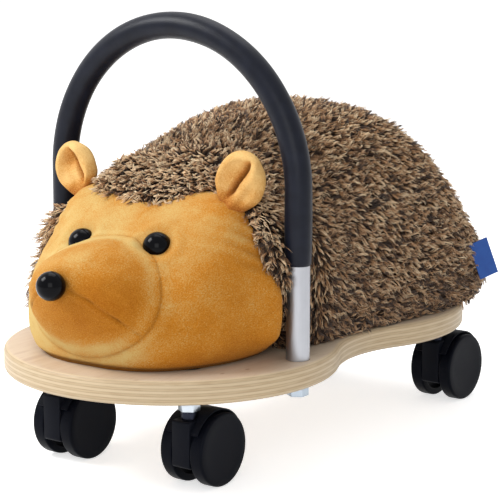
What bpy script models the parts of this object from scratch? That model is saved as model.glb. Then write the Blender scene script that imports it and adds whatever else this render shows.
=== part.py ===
import math

import bmesh
import bpy
from mathutils import Matrix

# Lengths are in metres. The animal faces -Y, its left side is +X and the wheels stand at height zero.

# Clearances
fit_gap = 0.0003
run_gap = 0.0004
soft_gap = 0.0006
merge_limit = 0.00001
cut_over = 0.004

# Wheels
wheel_radius = 0.030
wheel_width = 0.0115
wheel_facets = 20
wheel_shoulder = 0.0035
wheel_inner_round = 0.0015
wheel_dish = 0.0012
wheel_recess = 0.0055
wheel_hub_radius = 0.0075
axle_radius = 0.0030
axle_seat = 0.0080

# Caster housing: a block between the wheels that carries the stem, under a hood
block_width = 0.0175
block_front = 0.0115
block_floor = 0.0180
block_height = 0.0385
block_tail = 0.0100
caster_trail = 0.0180
hood_gap = 0.0009
hood_wall = 0.0014
hood_width = 0.0310
hood_front_angle = 150.0
hood_rear_angle = 10.0
hood_steps = 12

# Caster stem, its hex collar, lock nut, washer and the tee nut in the board
stem_segments = 12
stem_pin_radius = 0.0040
stem_pin_depth = 0.0250
stem_neck_radius = 0.0067
stem_thread_radius = 0.0040
stem_chamfer = 0.0006
collar_height = 0.0073
collar_radius = 0.0090
lock_nut_height = 0.0055
washer_height = 0.0012
caster_washer_radius = 0.0105
tee_flange_radius = 0.0100
tee_flange_height = 0.0015
tee_barrel_radius = 0.0060
tee_barrel_length = 0.0110

# Board: two round lobes joined by a waist
board_thickness = 0.0200
board_edge_round = 0.0030
front_lobe_y = -0.0904
front_lobe_radius = 0.1385
rear_lobe_y = 0.1220
rear_lobe_radius = 0.1300
waist_radius = 0.1130
board_steps = 72

# Where the casters stand under the board: how far in from a lobe's edge, and degrees round it
front_caster_inset = 0.0456
front_caster_angle = 43.6
rear_caster_inset = 0.0202
rear_caster_angle = 43.2

# Handle: one bent tube on two legs, with a foam grip over the hoop
handle_setback = 0.0079
handle_inset = 0.0175
handle_spring_height = 0.1345
handle_rise = 0.1253
tube_radius = 0.0095
tube_wall = 0.0015
tube_sides_resolution = 4
hoop_steps = 18
grip_radius = 0.0110
grip_foot_radius = 0.0103
grip_foot_height = 0.0770
grip_taper_length = 0.0120

# Handle fixings
insert_length = 0.0300
bolt_radius = 0.0040
bolt_head_radius = 0.0090
bolt_head_height = 0.0075
bolt_reach = 0.0240
bolt_washer_radius = 0.0100

# Seat panel inside the plush and the screws that hold it to the board
panel_half_width = 0.0640
panel_half_length = 0.1250
panel_along_share = 0.515
panel_thickness = 0.0060
panel_steps = 24
screw_radius = 0.0020
screw_head_radius = 0.0040
screw_head_height = 0.0022
screw_x = 0.0400
screw_y_spread = 0.0600
screw_length = 0.0240

# Furry body: rings from the brow to the tail, as shares of its length, half width, height and lean
brow_reach = 0.0365
body_tail_inset = 0.0020
body_half_width = 0.1420
body_height = 0.1830
body_lean = 0.0570
brow_peak = 0.0240
body_ring_shares = (
    (0.00, 0.74, 0.62, 1.00),
    (0.03, 0.79, 0.71, 1.00),
    (0.12, 0.815, 0.82, 0.85),
    (0.24, 0.835, 0.93, 0.60),
    (0.37, 0.87, 1.00, 0.35),
    (0.50, 0.90, 1.02, 0.15),
    (0.63, 0.93, 0.98, 0.00),
    (0.75, 0.93, 0.77, 0.00),
    (0.86, 0.87, 0.49, 0.00),
    (0.95, 0.71, 0.37, 0.00),
    (1.00, 0.48, 0.28, 0.00),
)
# Half of a ring from the foot up, as shares of the half width, the height and the brow's peak
body_section_shares = (
    (0.50, 0.00, 0.00),
    (0.91, 0.00, 0.00),
    (1.02, 0.12, 0.00),
    (1.03, 0.35, 0.00),
    (0.95, 0.63, 0.10),
    (0.72, 0.87, 0.22),
    (0.38, 0.985, 0.60),
)

# Head: rings from inside the fur to the chin, as shares of its length, half width and height
head_tuck = 0.0530
head_length = 0.1360
head_half_width = 0.1140
head_height = 0.1310
head_ring_shares = (
    (0.00, 0.93, 0.97),
    (0.21, 0.96, 1.00),
    (0.43, 0.96, 0.95),
    (0.63, 0.87, 0.80),
    (0.80, 0.74, 0.63),
    (0.93, 0.56, 0.48),
    (1.00, 0.30, 0.32),
)
# Half of a ring from the foot up, as shares of the half width and the height
head_section_shares = (
    (0.45, 0.00),
    (0.82, 0.00),
    (1.00, 0.14),
    (1.01, 0.42),
    (0.94, 0.72),
    (0.74, 0.94),
    (0.40, 1.01),
)

# Snout, nose, eyes and ears, placed by shares of the head
snout_along_share = 0.809
snout_up_share = 0.385
snout_half_width = 0.0640
snout_half_length = 0.0555
snout_half_height = 0.0490
snout_tip_rise = 0.0200
nose_radius = 0.0113
nose_sink = 0.0030
eye_out_share = 0.342
eye_along_share = 0.676
eye_up_share = 0.712
eye_radius = 0.0115
ear_out_share = 0.728
ear_along_share = 0.257
ear_up_share = 1.082
ear_half_width = 0.0220
ear_half_length = 0.0265
ear_half_thickness = 0.0060
ear_cup = 0.0070
ear_splay = 20.0
ear_turn = 7.0

# Sewn-in tag at the tail, placed by shares of the body
tag_width = 0.0180
tag_length = 0.0300
tag_thickness = 0.0010
tag_out_share = 0.965
tag_along_share = 0.808
tag_up_share = 0.228
tag_turn = 52.0
tag_lean = -14.0

board_underside = (
    wheel_radius + wheel_radius / math.cos(math.pi / wheel_facets) + hood_gap + hood_wall
    + run_gap + collar_height + lock_nut_height + washer_height + 3 * fit_gap
)
board_top = board_underside + board_thickness
seat_height = board_top + fit_gap
axle_height = wheel_radius
handle_y = front_lobe_y + handle_setback
handle_half_span = front_lobe_radius - handle_inset
body_front_y = handle_y - brow_reach
body_length = rear_lobe_y + rear_lobe_radius - body_tail_inset - body_front_y
panel_y = body_front_y + body_length * panel_along_share
head_rear_y = body_front_y + head_tuck
snout_y = head_rear_y - head_length * snout_along_share
snout_height = seat_height + head_height * snout_up_share


def clear_scene():
    for obj in list(bpy.data.objects):
        bpy.data.objects.remove(obj, do_unlink=True)


def new_collection(name):
    collection = bpy.data.collections.new(name)
    bpy.context.scene.collection.children.link(collection)
    return collection


clear_scene()
parts = new_collection("plush_ride_on")
cutters = new_collection("cutters")


def new_material(name, colour, roughness, metallic):
    made = bpy.data.materials.new(name)
    made.use_nodes = True
    made.diffuse_color = (*colour, 1.0)
    shader = made.node_tree.nodes["Principled BSDF"]
    shader.inputs["Base Color"].default_value = (*colour, 1.0)
    shader.inputs["Roughness"].default_value = roughness
    shader.inputs["Metallic"].default_value = metallic
    return made


birch = new_material("birch_plywood", (0.66, 0.49, 0.30), 0.45, 0.0)
brushed = new_material("brushed_tube", (0.62, 0.63, 0.65), 0.35, 1.0)
foam = new_material("black_foam", (0.012, 0.013, 0.018), 0.6, 0.0)
zinc = new_material("zinc_steel", (0.55, 0.58, 0.62), 0.3, 1.0)
caster_black = new_material("caster_plastic", (0.012, 0.013, 0.016), 0.45, 0.0)
tread_black = new_material("tread_plastic", (0.010, 0.011, 0.013), 0.5, 0.0)
fur = new_material("brown_fur", (0.24, 0.14, 0.07), 0.95, 0.0)
face_plush = new_material("yellow_plush", (0.76, 0.36, 0.05), 0.95, 0.0)
ear_plush = new_material("orange_plush", (0.70, 0.30, 0.05), 0.95, 0.0)
gloss_black = new_material("gloss_black", (0.010, 0.008, 0.008), 0.08, 0.0)
blue_tape = new_material("blue_tape", (0.05, 0.18, 0.45), 0.7, 0.0)
softwood = new_material("panel_plywood", (0.50, 0.36, 0.22), 0.6, 0.0)


def added(name, mesh, collection=parts, made_of=None, at=(0.0, 0.0, 0.0), turned_by=(0.0, 0.0, 0.0)):
    obj = bpy.data.objects.new(name, mesh)
    collection.objects.link(obj)
    obj.location = at
    obj.rotation_euler = turned_by
    if made_of is not None:
        mesh.materials.clear()
        mesh.materials.append(made_of)
    if collection is cutters:
        obj.hide_render = True
        obj.display_type = "WIRE"
    return obj


def evaluated_mesh(obj):
    bpy.context.view_layer.update()
    depsgraph = bpy.context.evaluated_depsgraph_get()
    return bpy.data.meshes.new_from_object(obj.evaluated_get(depsgraph))


def curve_mesh(curve, place=None):
    """The welded mesh of a curve, which is removed again."""
    holder = bpy.data.objects.new(curve.name, curve)
    cutters.objects.link(holder)
    mesh = evaluated_mesh(holder)
    bpy.data.objects.remove(holder)
    shape = bmesh.new()
    shape.from_mesh(mesh)
    bmesh.ops.remove_doubles(shape, verts=shape.verts, dist=merge_limit)
    bmesh.ops.dissolve_limit(
        shape, angle_limit=math.radians(0.2), verts=shape.verts, edges=shape.edges
    )
    bmesh.ops.recalc_face_normals(shape, faces=shape.faces)
    if place is not None:
        bmesh.ops.transform(shape, matrix=place, verts=shape.verts)
    shape.to_mesh(mesh)
    shape.free()
    return mesh


def plate_mesh(name, outline, thickness, place=None):
    """A flat outline in XY, thickened evenly about its plane."""
    curve = bpy.data.curves.new(name, "CURVE")
    curve.dimensions = "2D"
    curve.fill_mode = "BOTH"
    curve.extrude = thickness / 2
    spline = curve.splines.new("POLY")
    spline.points.add(len(outline) - 1)
    for point, (x, y) in zip(spline.points, outline):
        point.co = (x, y, 0.0, 1.0)
    spline.use_cyclic_u = True
    return curve_mesh(curve, place)


def rod_mesh(name, route, radius, swell=None):
    """A capped tube along a route, with an optional radius factor at each point."""
    curve = bpy.data.curves.new(name, "CURVE")
    curve.dimensions = "3D"
    curve.bevel_depth = radius
    curve.bevel_resolution = tube_sides_resolution
    curve.use_fill_caps = True
    curve.twist_mode = "MINIMUM"
    spline = curve.splines.new("POLY")
    spline.points.add(len(route) - 1)
    for index, place in enumerate(route):
        spline.points[index].co = (*place, 1.0)
        spline.points[index].radius = swell[index] if swell else 1.0
    return curve_mesh(curve)


def turned_mesh(name, profile, segments, ring=False, place=None):
    """A profile of radius and height, listed down its outer side, turned about Z."""
    mesh = bpy.data.meshes.new(name)
    shape = bmesh.new()
    corners = [shape.verts.new((radius, 0.0, height)) for radius, height in profile]
    followers = corners[1:] + corners[:1] if ring else corners[1:]
    for corner, follower in zip(corners, followers):
        shape.edges.new((corner, follower))
    shape.to_mesh(mesh)
    shape.free()
    holder = added(name, mesh, cutters)
    screw = holder.modifiers.new("turn", "SCREW")
    screw.steps = segments
    screw.render_steps = segments
    screw.use_merge_vertices = True
    screw.merge_threshold = merge_limit
    result = evaluated_mesh(holder)
    bpy.data.objects.remove(holder)
    if place is not None:
        result.transform(place)
    return result


def hex_mesh(name, radius, low, high):
    """An upright hexagonal prism."""
    mesh = bpy.data.meshes.new(name)
    shape = bmesh.new()
    bmesh.ops.create_cone(
        shape, cap_ends=True, segments=6, radius1=radius, radius2=radius, depth=high - low,
        matrix=Matrix.Translation((0.0, 0.0, (low + high) / 2)),
    )
    shape.to_mesh(mesh)
    shape.free()
    return mesh


def cylinder_mesh(name, radius, low, high, segments, place=None):
    return turned_mesh(
        name, ((0.0, high), (radius, high), (radius, low), (0.0, low)), segments, place=place
    )


def joined(mesh, steps):
    """The mesh after Boolean steps, each an operation and the mesh that it uses."""
    body = added(mesh.name + "_work", mesh, cutters)
    tools = []
    for operation, tool_mesh in steps:
        tool = added(mesh.name + "_tool", tool_mesh, cutters)
        step = body.modifiers.new("step", "BOOLEAN")
        step.operation = operation
        step.object = tool
        tools.append(tool)
    result = evaluated_mesh(body)
    for obj in [body] + tools:
        bpy.data.objects.remove(obj)
    shape = bmesh.new()
    shape.from_mesh(result)
    bmesh.ops.remove_doubles(shape, verts=shape.verts, dist=merge_limit)
    bmesh.ops.dissolve_degenerate(shape, edges=shape.edges, dist=merge_limit)
    shape.to_mesh(result)
    shape.free()
    return result


def smoothed(mesh, angle):
    mesh.shade_smooth()
    mesh.set_sharp_from_angle(angle=math.radians(angle))
    return mesh


def arc(centre, radius, start, end, steps):
    """Points on a circle from one angle to another, in degrees."""
    points = []
    for step in range(steps + 1):
        angle = math.radians(start + (end - start) * step / steps)
        points.append((centre[0] + radius * math.cos(angle), centre[1] + radius * math.sin(angle)))
    return points


# Base board

def waist_centre():
    """Centre of the arc that touches both lobes from outside, on the animal's left."""
    span = rear_lobe_y - front_lobe_y
    reach_front = front_lobe_radius + waist_radius
    reach_rear = rear_lobe_radius + waist_radius
    along = (span**2 + reach_front**2 - reach_rear**2) / (2 * span)
    return math.sqrt(reach_front**2 - along**2), front_lobe_y + along


def board_outline():
    waist_x, waist_y = waist_centre()
    front_touch = math.degrees(math.atan2(waist_y - front_lobe_y, waist_x))
    rear_touch = math.degrees(math.atan2(waist_y - rear_lobe_y, waist_x))
    front_share = (180 + 2 * front_touch) / 360
    rear_share = (180 - 2 * rear_touch) / 360
    front_steps = round(board_steps * front_share * 0.6)
    rear_steps = round(board_steps * rear_share * 0.6)
    waist_steps = round(board_steps * 0.12)
    points = arc((0.0, front_lobe_y), front_lobe_radius, -180 - front_touch, front_touch, front_steps)
    points += arc(
        (waist_x, waist_y), waist_radius, 180 + front_touch, 180 + rear_touch, waist_steps
    )[1:-1]
    points += arc((0.0, rear_lobe_y), rear_lobe_radius, rear_touch, 180 - rear_touch, rear_steps)
    points += arc(
        (-waist_x, waist_y), waist_radius, -rear_touch, -front_touch, waist_steps
    )[1:-1]
    return points


def caster_place(lobe_y, reach, angle):
    return reach * math.cos(math.radians(angle)), lobe_y + reach * math.sin(math.radians(angle))


front_x, front_y = caster_place(front_lobe_y, front_lobe_radius - front_caster_inset, -front_caster_angle)
rear_x, rear_y = caster_place(rear_lobe_y, rear_lobe_radius - rear_caster_inset, rear_caster_angle)
caster_places = {
    "front_left": (front_x, front_y),
    "front_right": (-front_x, front_y),
    "rear_left": (rear_x, rear_y),
    "rear_right": (-rear_x, rear_y),
}
leg_places = {"left": handle_half_span, "right": -handle_half_span}
screw_places = {
    "front_left": (screw_x, panel_y - screw_y_spread),
    "front_right": (-screw_x, panel_y - screw_y_spread),
    "rear_left": (screw_x, panel_y + screw_y_spread),
    "rear_right": (-screw_x, panel_y + screw_y_spread),
}
tee_seat_depth = tee_flange_height + 2 * fit_gap


def base_board():
    level = Matrix.Translation((0.0, 0.0, board_underside + board_thickness / 2))
    slab = added("slab", plate_mesh("slab", board_outline(), board_thickness, level), cutters)
    edge = slab.modifiers.new("edge", "BEVEL")
    edge.width = board_edge_round
    edge.segments = 2
    edge.limit_method = "ANGLE"
    edge.angle_limit = math.radians(60)
    mesh = evaluated_mesh(slab)
    bpy.data.objects.remove(slab)
    mesh.name = "base_board"
    steps = []
    low = board_underside - cut_over
    high = board_top + cut_over
    barrel_hole = tee_barrel_radius + fit_gap
    flange_hole = tee_flange_radius + fit_gap
    seat = board_top - tee_seat_depth
    tee_hole = ((0.0, high), (flange_hole, high), (flange_hole, seat), (barrel_hole, seat),
                (barrel_hole, low), (0.0, low))
    for x, y in caster_places.values():
        place = Matrix.Translation((x, y, 0.0))
        steps.append(("DIFFERENCE", turned_mesh("tee_hole", tee_hole, stem_segments, place=place)))
    for x in leg_places.values():
        place = Matrix.Translation((x, handle_y, 0.0))
        hole = cylinder_mesh("leg_hole", bolt_radius + fit_gap, low, high, stem_segments, place)
        steps.append(("DIFFERENCE", hole))
    shank_hole = screw_radius + fit_gap
    sink_top = board_underside + screw_head_height + fit_gap
    sink_radius = screw_head_radius + 2 * fit_gap
    screw_hole = ((0.0, high), (shank_hole, high), (shank_hole, sink_top),
                  (sink_radius, board_underside), (sink_radius, low), (0.0, low))
    for x, y in screw_places.values():
        place = Matrix.Translation((x, y, 0.0))
        steps.append(("DIFFERENCE", turned_mesh("screw_hole", screw_hole, stem_segments, place=place)))
    added("base_board", smoothed(joined(mesh, steps), 40), made_of=birch)


# Handle

def handle_route(foot, below=0.0):
    """Points up one leg from the foot height, over the hoop and down the other leg."""
    spring = board_top + handle_spring_height
    points = [(handle_half_span, handle_y, foot - below)]
    if below > 0:
        points.append((handle_half_span, handle_y, foot))
    for step in range(hoop_steps + 1):
        angle = math.pi * step / hoop_steps
        x = handle_half_span * math.cos(angle)
        points.append((x, handle_y, spring + handle_rise * math.sin(angle)))
    if below > 0:
        points.append((-handle_half_span, handle_y, foot))
    points.append((-handle_half_span, handle_y, foot - below))
    return points


def handle():
    foot = board_top + fit_gap
    outer = rod_mesh("handle_tube", handle_route(foot), tube_radius)
    bore = rod_mesh("bore", handle_route(foot, cut_over), tube_radius - tube_wall)
    tube = joined(outer, [("DIFFERENCE", bore)])
    added("handle_tube", smoothed(tube, 50), made_of=brushed)

    grip_foot = board_top + grip_foot_height
    route = handle_route(grip_foot + grip_taper_length, grip_taper_length)
    swell = [1.0] * len(route)
    swell[0] = grip_foot_radius / grip_radius
    swell[-1] = grip_foot_radius / grip_radius
    sleeve = rod_mesh("foam_grip", route, grip_radius, swell)
    core = rod_mesh("core", handle_route(grip_foot, cut_over), tube_radius + fit_gap)
    grip = joined(sleeve, [("DIFFERENCE", core)])
    added("foam_grip", smoothed(grip, 50), made_of=foam)


def handle_fixings():
    insert_radius = tube_radius - tube_wall - fit_gap
    inner = bolt_radius + fit_gap
    foot = board_top + 2 * fit_gap
    insert = turned_mesh(
        "tube_insert",
        ((insert_radius, foot + insert_length), (insert_radius, foot), (inner, foot),
         (inner, foot + insert_length)),
        stem_segments, ring=True,
    )
    washer_top = board_underside - fit_gap
    washer = turned_mesh(
        "bolt_washer",
        ((bolt_washer_radius, washer_top), (bolt_washer_radius, washer_top - washer_height),
         (inner, washer_top - washer_height), (inner, washer_top)),
        stem_segments, ring=True,
    )
    head_top = washer_top - washer_height - fit_gap
    reach = board_top + bolt_reach
    shank = turned_mesh(
        "handle_bolt",
        ((0.0, reach), (bolt_radius - stem_chamfer, reach), (bolt_radius, reach - stem_chamfer),
         (bolt_radius, head_top - bolt_head_height / 2), (0.0, head_top - bolt_head_height / 2)),
        stem_segments,
    )
    head = hex_mesh("head", bolt_head_radius, head_top - bolt_head_height, head_top)
    bolt = joined(head, [("UNION", shank)])
    bolt.name = "handle_bolt"
    for side, x in leg_places.items():
        at = (x, handle_y, 0.0)
        added("tube_insert_" + side, insert, made_of=zinc, at=at)
        added("bolt_washer_" + side, washer, made_of=zinc, at=at)
        added("handle_bolt_" + side, smoothed(bolt, 30), made_of=zinc, at=at)


# Casters

hood_inner = wheel_radius / math.cos(math.pi / wheel_facets) + hood_gap
hood_outer = hood_inner + hood_wall
block_top = block_floor + block_height
collar_floor = axle_height + hood_outer + run_gap
collar_top = collar_floor + collar_height
lock_nut_floor = collar_top + fit_gap
caster_washer_floor = lock_nut_floor + lock_nut_height + fit_gap


def housing_mesh():
    """Block and hood of one caster, about its stem axis, with the axle behind it."""
    upright = Matrix(((0, 0, 1, 0), (1, 0, 0, 0), (0, 1, 0, 0), (0, 0, 0, 1)))
    axle = (caster_trail, axle_height)
    block_arc = hood_outer - hood_wall / 2
    shoulder_angle = 180 - math.degrees(math.asin((block_top - axle_height) / block_arc))
    outline = [(-block_front, block_floor), (caster_trail + block_tail, block_floor)]
    outline += arc(axle, block_arc, hood_rear_angle, shoulder_angle, hood_steps)
    outline.append((-block_front, block_top))
    block = plate_mesh("caster_housing", outline, block_width, upright)
    sector = arc(axle, hood_outer, hood_rear_angle, hood_front_angle, hood_steps)
    sector += reversed(arc(axle, hood_inner, hood_rear_angle, hood_front_angle, hood_steps))
    hood = plate_mesh("hood", sector, hood_width, upright)
    pin_hole = stem_pin_radius + run_gap
    neck_hole = stem_neck_radius + run_gap
    pin_floor = block_top - stem_pin_depth - run_gap
    high = collar_floor + cut_over
    socket = turned_mesh(
        "socket",
        ((0.0, high), (neck_hole, high), (neck_hole, block_top), (pin_hole, block_top),
         (pin_hole, pin_floor), (0.0, pin_floor)),
        stem_segments,
    )
    across = Matrix.Translation((0.0, caster_trail, axle_height)) @ Matrix.Rotation(math.pi / 2, 4, "Y")
    reach = block_width / 2 + cut_over
    axle_hole = cylinder_mesh("axle_hole", axle_radius + fit_gap, -reach, reach, stem_segments, across)
    return joined(block, [("UNION", hood), ("DIFFERENCE", socket), ("DIFFERENCE", axle_hole)])


def wheel_mesh():
    """One wheel about its own axle, with its outer face towards +X and a facet on the floor."""
    grow = 1 / math.cos(math.pi / wheel_facets)
    rim = wheel_radius * grow
    inner = block_width / 2 + run_gap
    outer = inner + wheel_width
    shoulder = rim - wheel_shoulder
    dish_share = 0.80
    crown_share = 0.45
    profile = (
        (0.0, outer),
        (rim * crown_share, outer - wheel_dish / 3),
        (rim * dish_share - wheel_dish, outer - wheel_dish),
        (rim * dish_share, outer),
        (shoulder, outer),
        (rim - wheel_shoulder / 4, outer - wheel_shoulder / 3),
        (rim, outer - wheel_shoulder),
        (rim, inner + wheel_inner_round),
        (rim - wheel_inner_round, inner),
        (rim * dish_share, inner),
        (rim * dish_share, inner + wheel_recess),
        (wheel_hub_radius, inner + wheel_recess),
        (wheel_hub_radius, inner),
        (axle_radius + run_gap, inner),
        (axle_radius + run_gap, inner + axle_seat + run_gap),
        (0.0, inner + axle_seat + run_gap),
    )
    flat_down = Matrix.Rotation(math.pi / wheel_facets, 4, "X")
    sideways = flat_down @ Matrix.Rotation(math.pi / 2, 4, "Y")
    return turned_mesh("wheel", profile, wheel_facets, place=sideways)


def stem_mesh():
    """Pin, neck, hex collar and thread of one caster stem, about its own axis."""
    top = board_top - tee_flange_height
    middle = (collar_floor + collar_top) / 2
    neck_floor = block_top + fit_gap
    pin_floor = block_top - stem_pin_depth
    core = turned_mesh(
        "core",
        ((0.0, top), (stem_thread_radius - stem_chamfer, top), (stem_thread_radius, top - stem_chamfer),
         (stem_thread_radius, middle), (stem_neck_radius, middle), (stem_neck_radius, neck_floor),
         (stem_pin_radius, neck_floor), (stem_pin_radius, pin_floor + stem_chamfer),
         (stem_pin_radius - stem_chamfer, pin_floor), (0.0, pin_floor)),
        stem_segments,
    )
    collar = hex_mesh("caster_stem", collar_radius, collar_floor, collar_top)
    return joined(collar, [("UNION", core)])


def lock_nut_mesh():
    high = lock_nut_floor + lock_nut_height
    nut = hex_mesh("lock_nut", collar_radius, lock_nut_floor, high)
    bore = cylinder_mesh(
        "bore", stem_thread_radius + fit_gap, lock_nut_floor - cut_over, high + cut_over, stem_segments
    )
    return joined(nut, [("DIFFERENCE", bore)])


def caster_washer_mesh():
    inner = stem_thread_radius + fit_gap
    top = caster_washer_floor + washer_height
    return turned_mesh(
        "caster_washer",
        ((caster_washer_radius, top), (caster_washer_radius, caster_washer_floor),
         (inner, caster_washer_floor), (inner, top)),
        stem_segments, ring=True,
    )


def tee_nut_mesh():
    inner = stem_thread_radius + fit_gap
    top = board_top - fit_gap
    flange_floor = top - tee_flange_height
    floor = top - tee_barrel_length
    return turned_mesh(
        "tee_nut",
        ((tee_flange_radius, top), (tee_flange_radius, flange_floor), (tee_barrel_radius, flange_floor),
         (tee_barrel_radius, floor), (inner, floor), (inner, top)),
        stem_segments, ring=True,
    )


def axle_mesh():
    reach = block_width / 2 + run_gap + axle_seat
    sideways = Matrix.Rotation(math.pi / 2, 4, "Y")
    return cylinder_mesh("axle", axle_radius, -reach, reach, stem_segments, sideways)


def casters():
    housing = smoothed(housing_mesh(), 35)
    wheel = smoothed(wheel_mesh(), 35)
    stem = smoothed(stem_mesh(), 35)
    nut = lock_nut_mesh()
    washer = caster_washer_mesh()
    tee_nut = tee_nut_mesh()
    axle = axle_mesh()
    for corner, (x, y) in caster_places.items():
        swivel = bpy.data.objects.new("swivel_" + corner, None)
        swivel.location = (x, y, 0.0)
        parts.objects.link(swivel)
        axle_centre = bpy.data.objects.new("axle_centre_" + corner, None)
        axle_centre.location = (0.0, caster_trail, axle_height)
        axle_centre.parent = swivel
        parts.objects.link(axle_centre)
        added("caster_stem_" + corner, stem, made_of=zinc, at=(x, y, 0.0))
        added("lock_nut_" + corner, nut, made_of=zinc, at=(x, y, 0.0))
        added("caster_washer_" + corner, washer, made_of=zinc, at=(x, y, 0.0))
        added("tee_nut_" + corner, tee_nut, made_of=zinc, at=(x, y, 0.0))
        added("caster_housing_" + corner, housing, made_of=caster_black).parent = swivel
        added("caster_axle_" + corner, axle, made_of=zinc).parent = axle_centre
        added("wheel_left_" + corner, wheel, made_of=tread_black).parent = axle_centre
        mirrored = added("wheel_right_" + corner, wheel, made_of=tread_black, turned_by=(0.0, 0.0, math.pi))
        mirrored.parent = axle_centre


# Seat panel and its screws

def panel_outline(grow=0.0):
    points = []
    for step in range(panel_steps):
        angle = 2 * math.pi * step / panel_steps
        x = (panel_half_width + grow) * math.cos(angle)
        points.append((x, panel_y + (panel_half_length + grow) * math.sin(angle)))
    return points


def panel_mesh(name, grow=0.0):
    middle = Matrix.Translation((0.0, 0.0, seat_height + panel_thickness / 2))
    return plate_mesh(name, panel_outline(grow), panel_thickness + 2 * grow, middle)


def seat_panel():
    low = seat_height - cut_over
    high = seat_height + panel_thickness + cut_over
    holes = []
    for x, y in screw_places.values():
        place = Matrix.Translation((x, y, 0.0))
        holes.append(("DIFFERENCE", cylinder_mesh(
            "screw_hole", screw_radius + fit_gap, low, high, stem_segments, place)))
    added("seat_panel", joined(panel_mesh("seat_panel"), holes), made_of=softwood)

    floor = board_underside
    screw = turned_mesh(
        "panel_screw",
        ((0.0, floor + screw_length), (screw_radius, floor + screw_length),
         (screw_radius, floor + screw_head_height), (screw_head_radius, floor), (0.0, floor)),
        stem_segments,
    )
    for corner, (x, y) in screw_places.items():
        added("panel_screw_" + corner, screw, made_of=zinc, at=(x, y, 0.0))


# Plush

def lofted(name, rings, level):
    """A closed cage over rings of equal point counts, rounded by subdivision, with a flat foot."""
    mesh = bpy.data.meshes.new(name)
    shape = bmesh.new()
    crease = shape.edges.layers.float.new("crease_edge")
    loops = [[shape.verts.new(place) for place in ring] for ring in rings]
    count = len(rings[0])
    for low, high in zip(loops, loops[1:]):
        for index in range(count):
            follower = (index + 1) % count
            shape.faces.new((low[index], low[follower], high[follower], high[index]))
    shape.faces.new(loops[0])
    shape.faces.new(loops[-1])
    bmesh.ops.recalc_face_normals(shape, faces=shape.faces)
    floor = min(vert.co.z for vert in shape.verts)
    for edge in shape.edges:
        on_floor = all(abs(vert.co.z - floor) < merge_limit for vert in edge.verts)
        inner = all(abs(face.normal.z) > 0.99 for face in edge.link_faces)
        if on_floor and not inner:
            edge[crease] = 1.0
    shape.to_mesh(mesh)
    shape.free()
    holder = added(name, mesh, cutters)
    rounding = holder.modifiers.new("round", "SUBSURF")
    rounding.levels = level
    rounding.render_levels = level
    result = evaluated_mesh(holder)
    bpy.data.objects.remove(holder)
    result.name = name
    shape = bmesh.new()
    shape.from_mesh(result)
    bmesh.ops.triangulate(shape, faces=shape.faces)
    shape.to_mesh(result)
    shape.free()
    return result


def grown(mesh, clearance):
    """A copy of a closed mesh with every face moved outwards by the clearance."""
    shape = bmesh.new()
    shape.from_mesh(mesh)
    shape.normal_update()
    steps = [vert.normal * vert.calc_shell_factor() * clearance for vert in shape.verts]
    for vert, step in zip(shape.verts, steps):
        vert.co += step
    room = bpy.data.meshes.new(mesh.name + "_room")
    shape.to_mesh(room)
    shape.free()
    return room


def body_rings():
    rings = []
    for along, wide, tall, lean in body_ring_shares:
        height = body_height * tall
        foot_y = body_front_y + body_lean + (body_length - body_lean) * along
        half = []
        for out, up, peak in body_section_shares:
            y = foot_y - lean * (body_lean * up + brow_peak * peak)
            half.append((body_half_width * wide * out, y, seat_height + height * up))
        crown = (0.0, foot_y - lean * (body_lean + brow_peak), seat_height + height)
        keel = (0.0, foot_y, seat_height)
        rings.append([keel] + half + [crown] + [(-x, y, z) for x, y, z in reversed(half)])
    return rings


def head_rings():
    rings = []
    for along, wide, tall in head_ring_shares:
        height = head_height * tall
        y = head_rear_y - head_length * along
        half = [
            (head_half_width * wide * out, y, seat_height + height * up)
            for out, up in head_section_shares
        ]
        keel = (0.0, y, seat_height)
        crown = (0.0, y, seat_height + height)
        rings.append([keel] + half + [crown] + [(-x, y, z) for x, y, z in reversed(half)])
    return rings


def ellipsoid_mesh(name, centre, sizes, segments, rings, bend=0.0, rise=0.0, turn=None):
    """A sphere stretched to three half sizes, cupped at its rim or with its -Y end raised."""
    mesh = bpy.data.meshes.new(name)
    shape = bmesh.new()
    bmesh.ops.create_uvsphere(shape, u_segments=segments, v_segments=rings, radius=1.0)
    for vert in shape.verts:
        cup = bend * (vert.co.x**2 + vert.co.z**2)
        lift = rise * max(-vert.co.y, 0.0) ** 3
        vert.co = (vert.co.x * sizes[0], vert.co.y * sizes[1] - cup, vert.co.z * sizes[2] + lift)
    place = Matrix.Translation(centre)
    if turn is not None:
        place = place @ turn
    bmesh.ops.transform(shape, matrix=place, verts=shape.verts)
    shape.to_mesh(mesh)
    shape.free()
    return mesh


def leg_cutters():
    radius = (tube_radius + soft_gap) / math.cos(math.pi / stem_segments)
    grip = (grip_radius + soft_gap) / math.cos(math.pi / stem_segments)
    change = board_top + grip_foot_height - soft_gap
    high = board_top + handle_spring_height
    shape = ((0.0, high), (grip, high), (grip, change), (radius, change),
             (radius, board_top - cut_over), (0.0, board_top - cut_over))
    for x in leg_places.values():
        yield turned_mesh("leg", shape, stem_segments, place=Matrix.Translation((x, handle_y, 0.0)))


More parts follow.
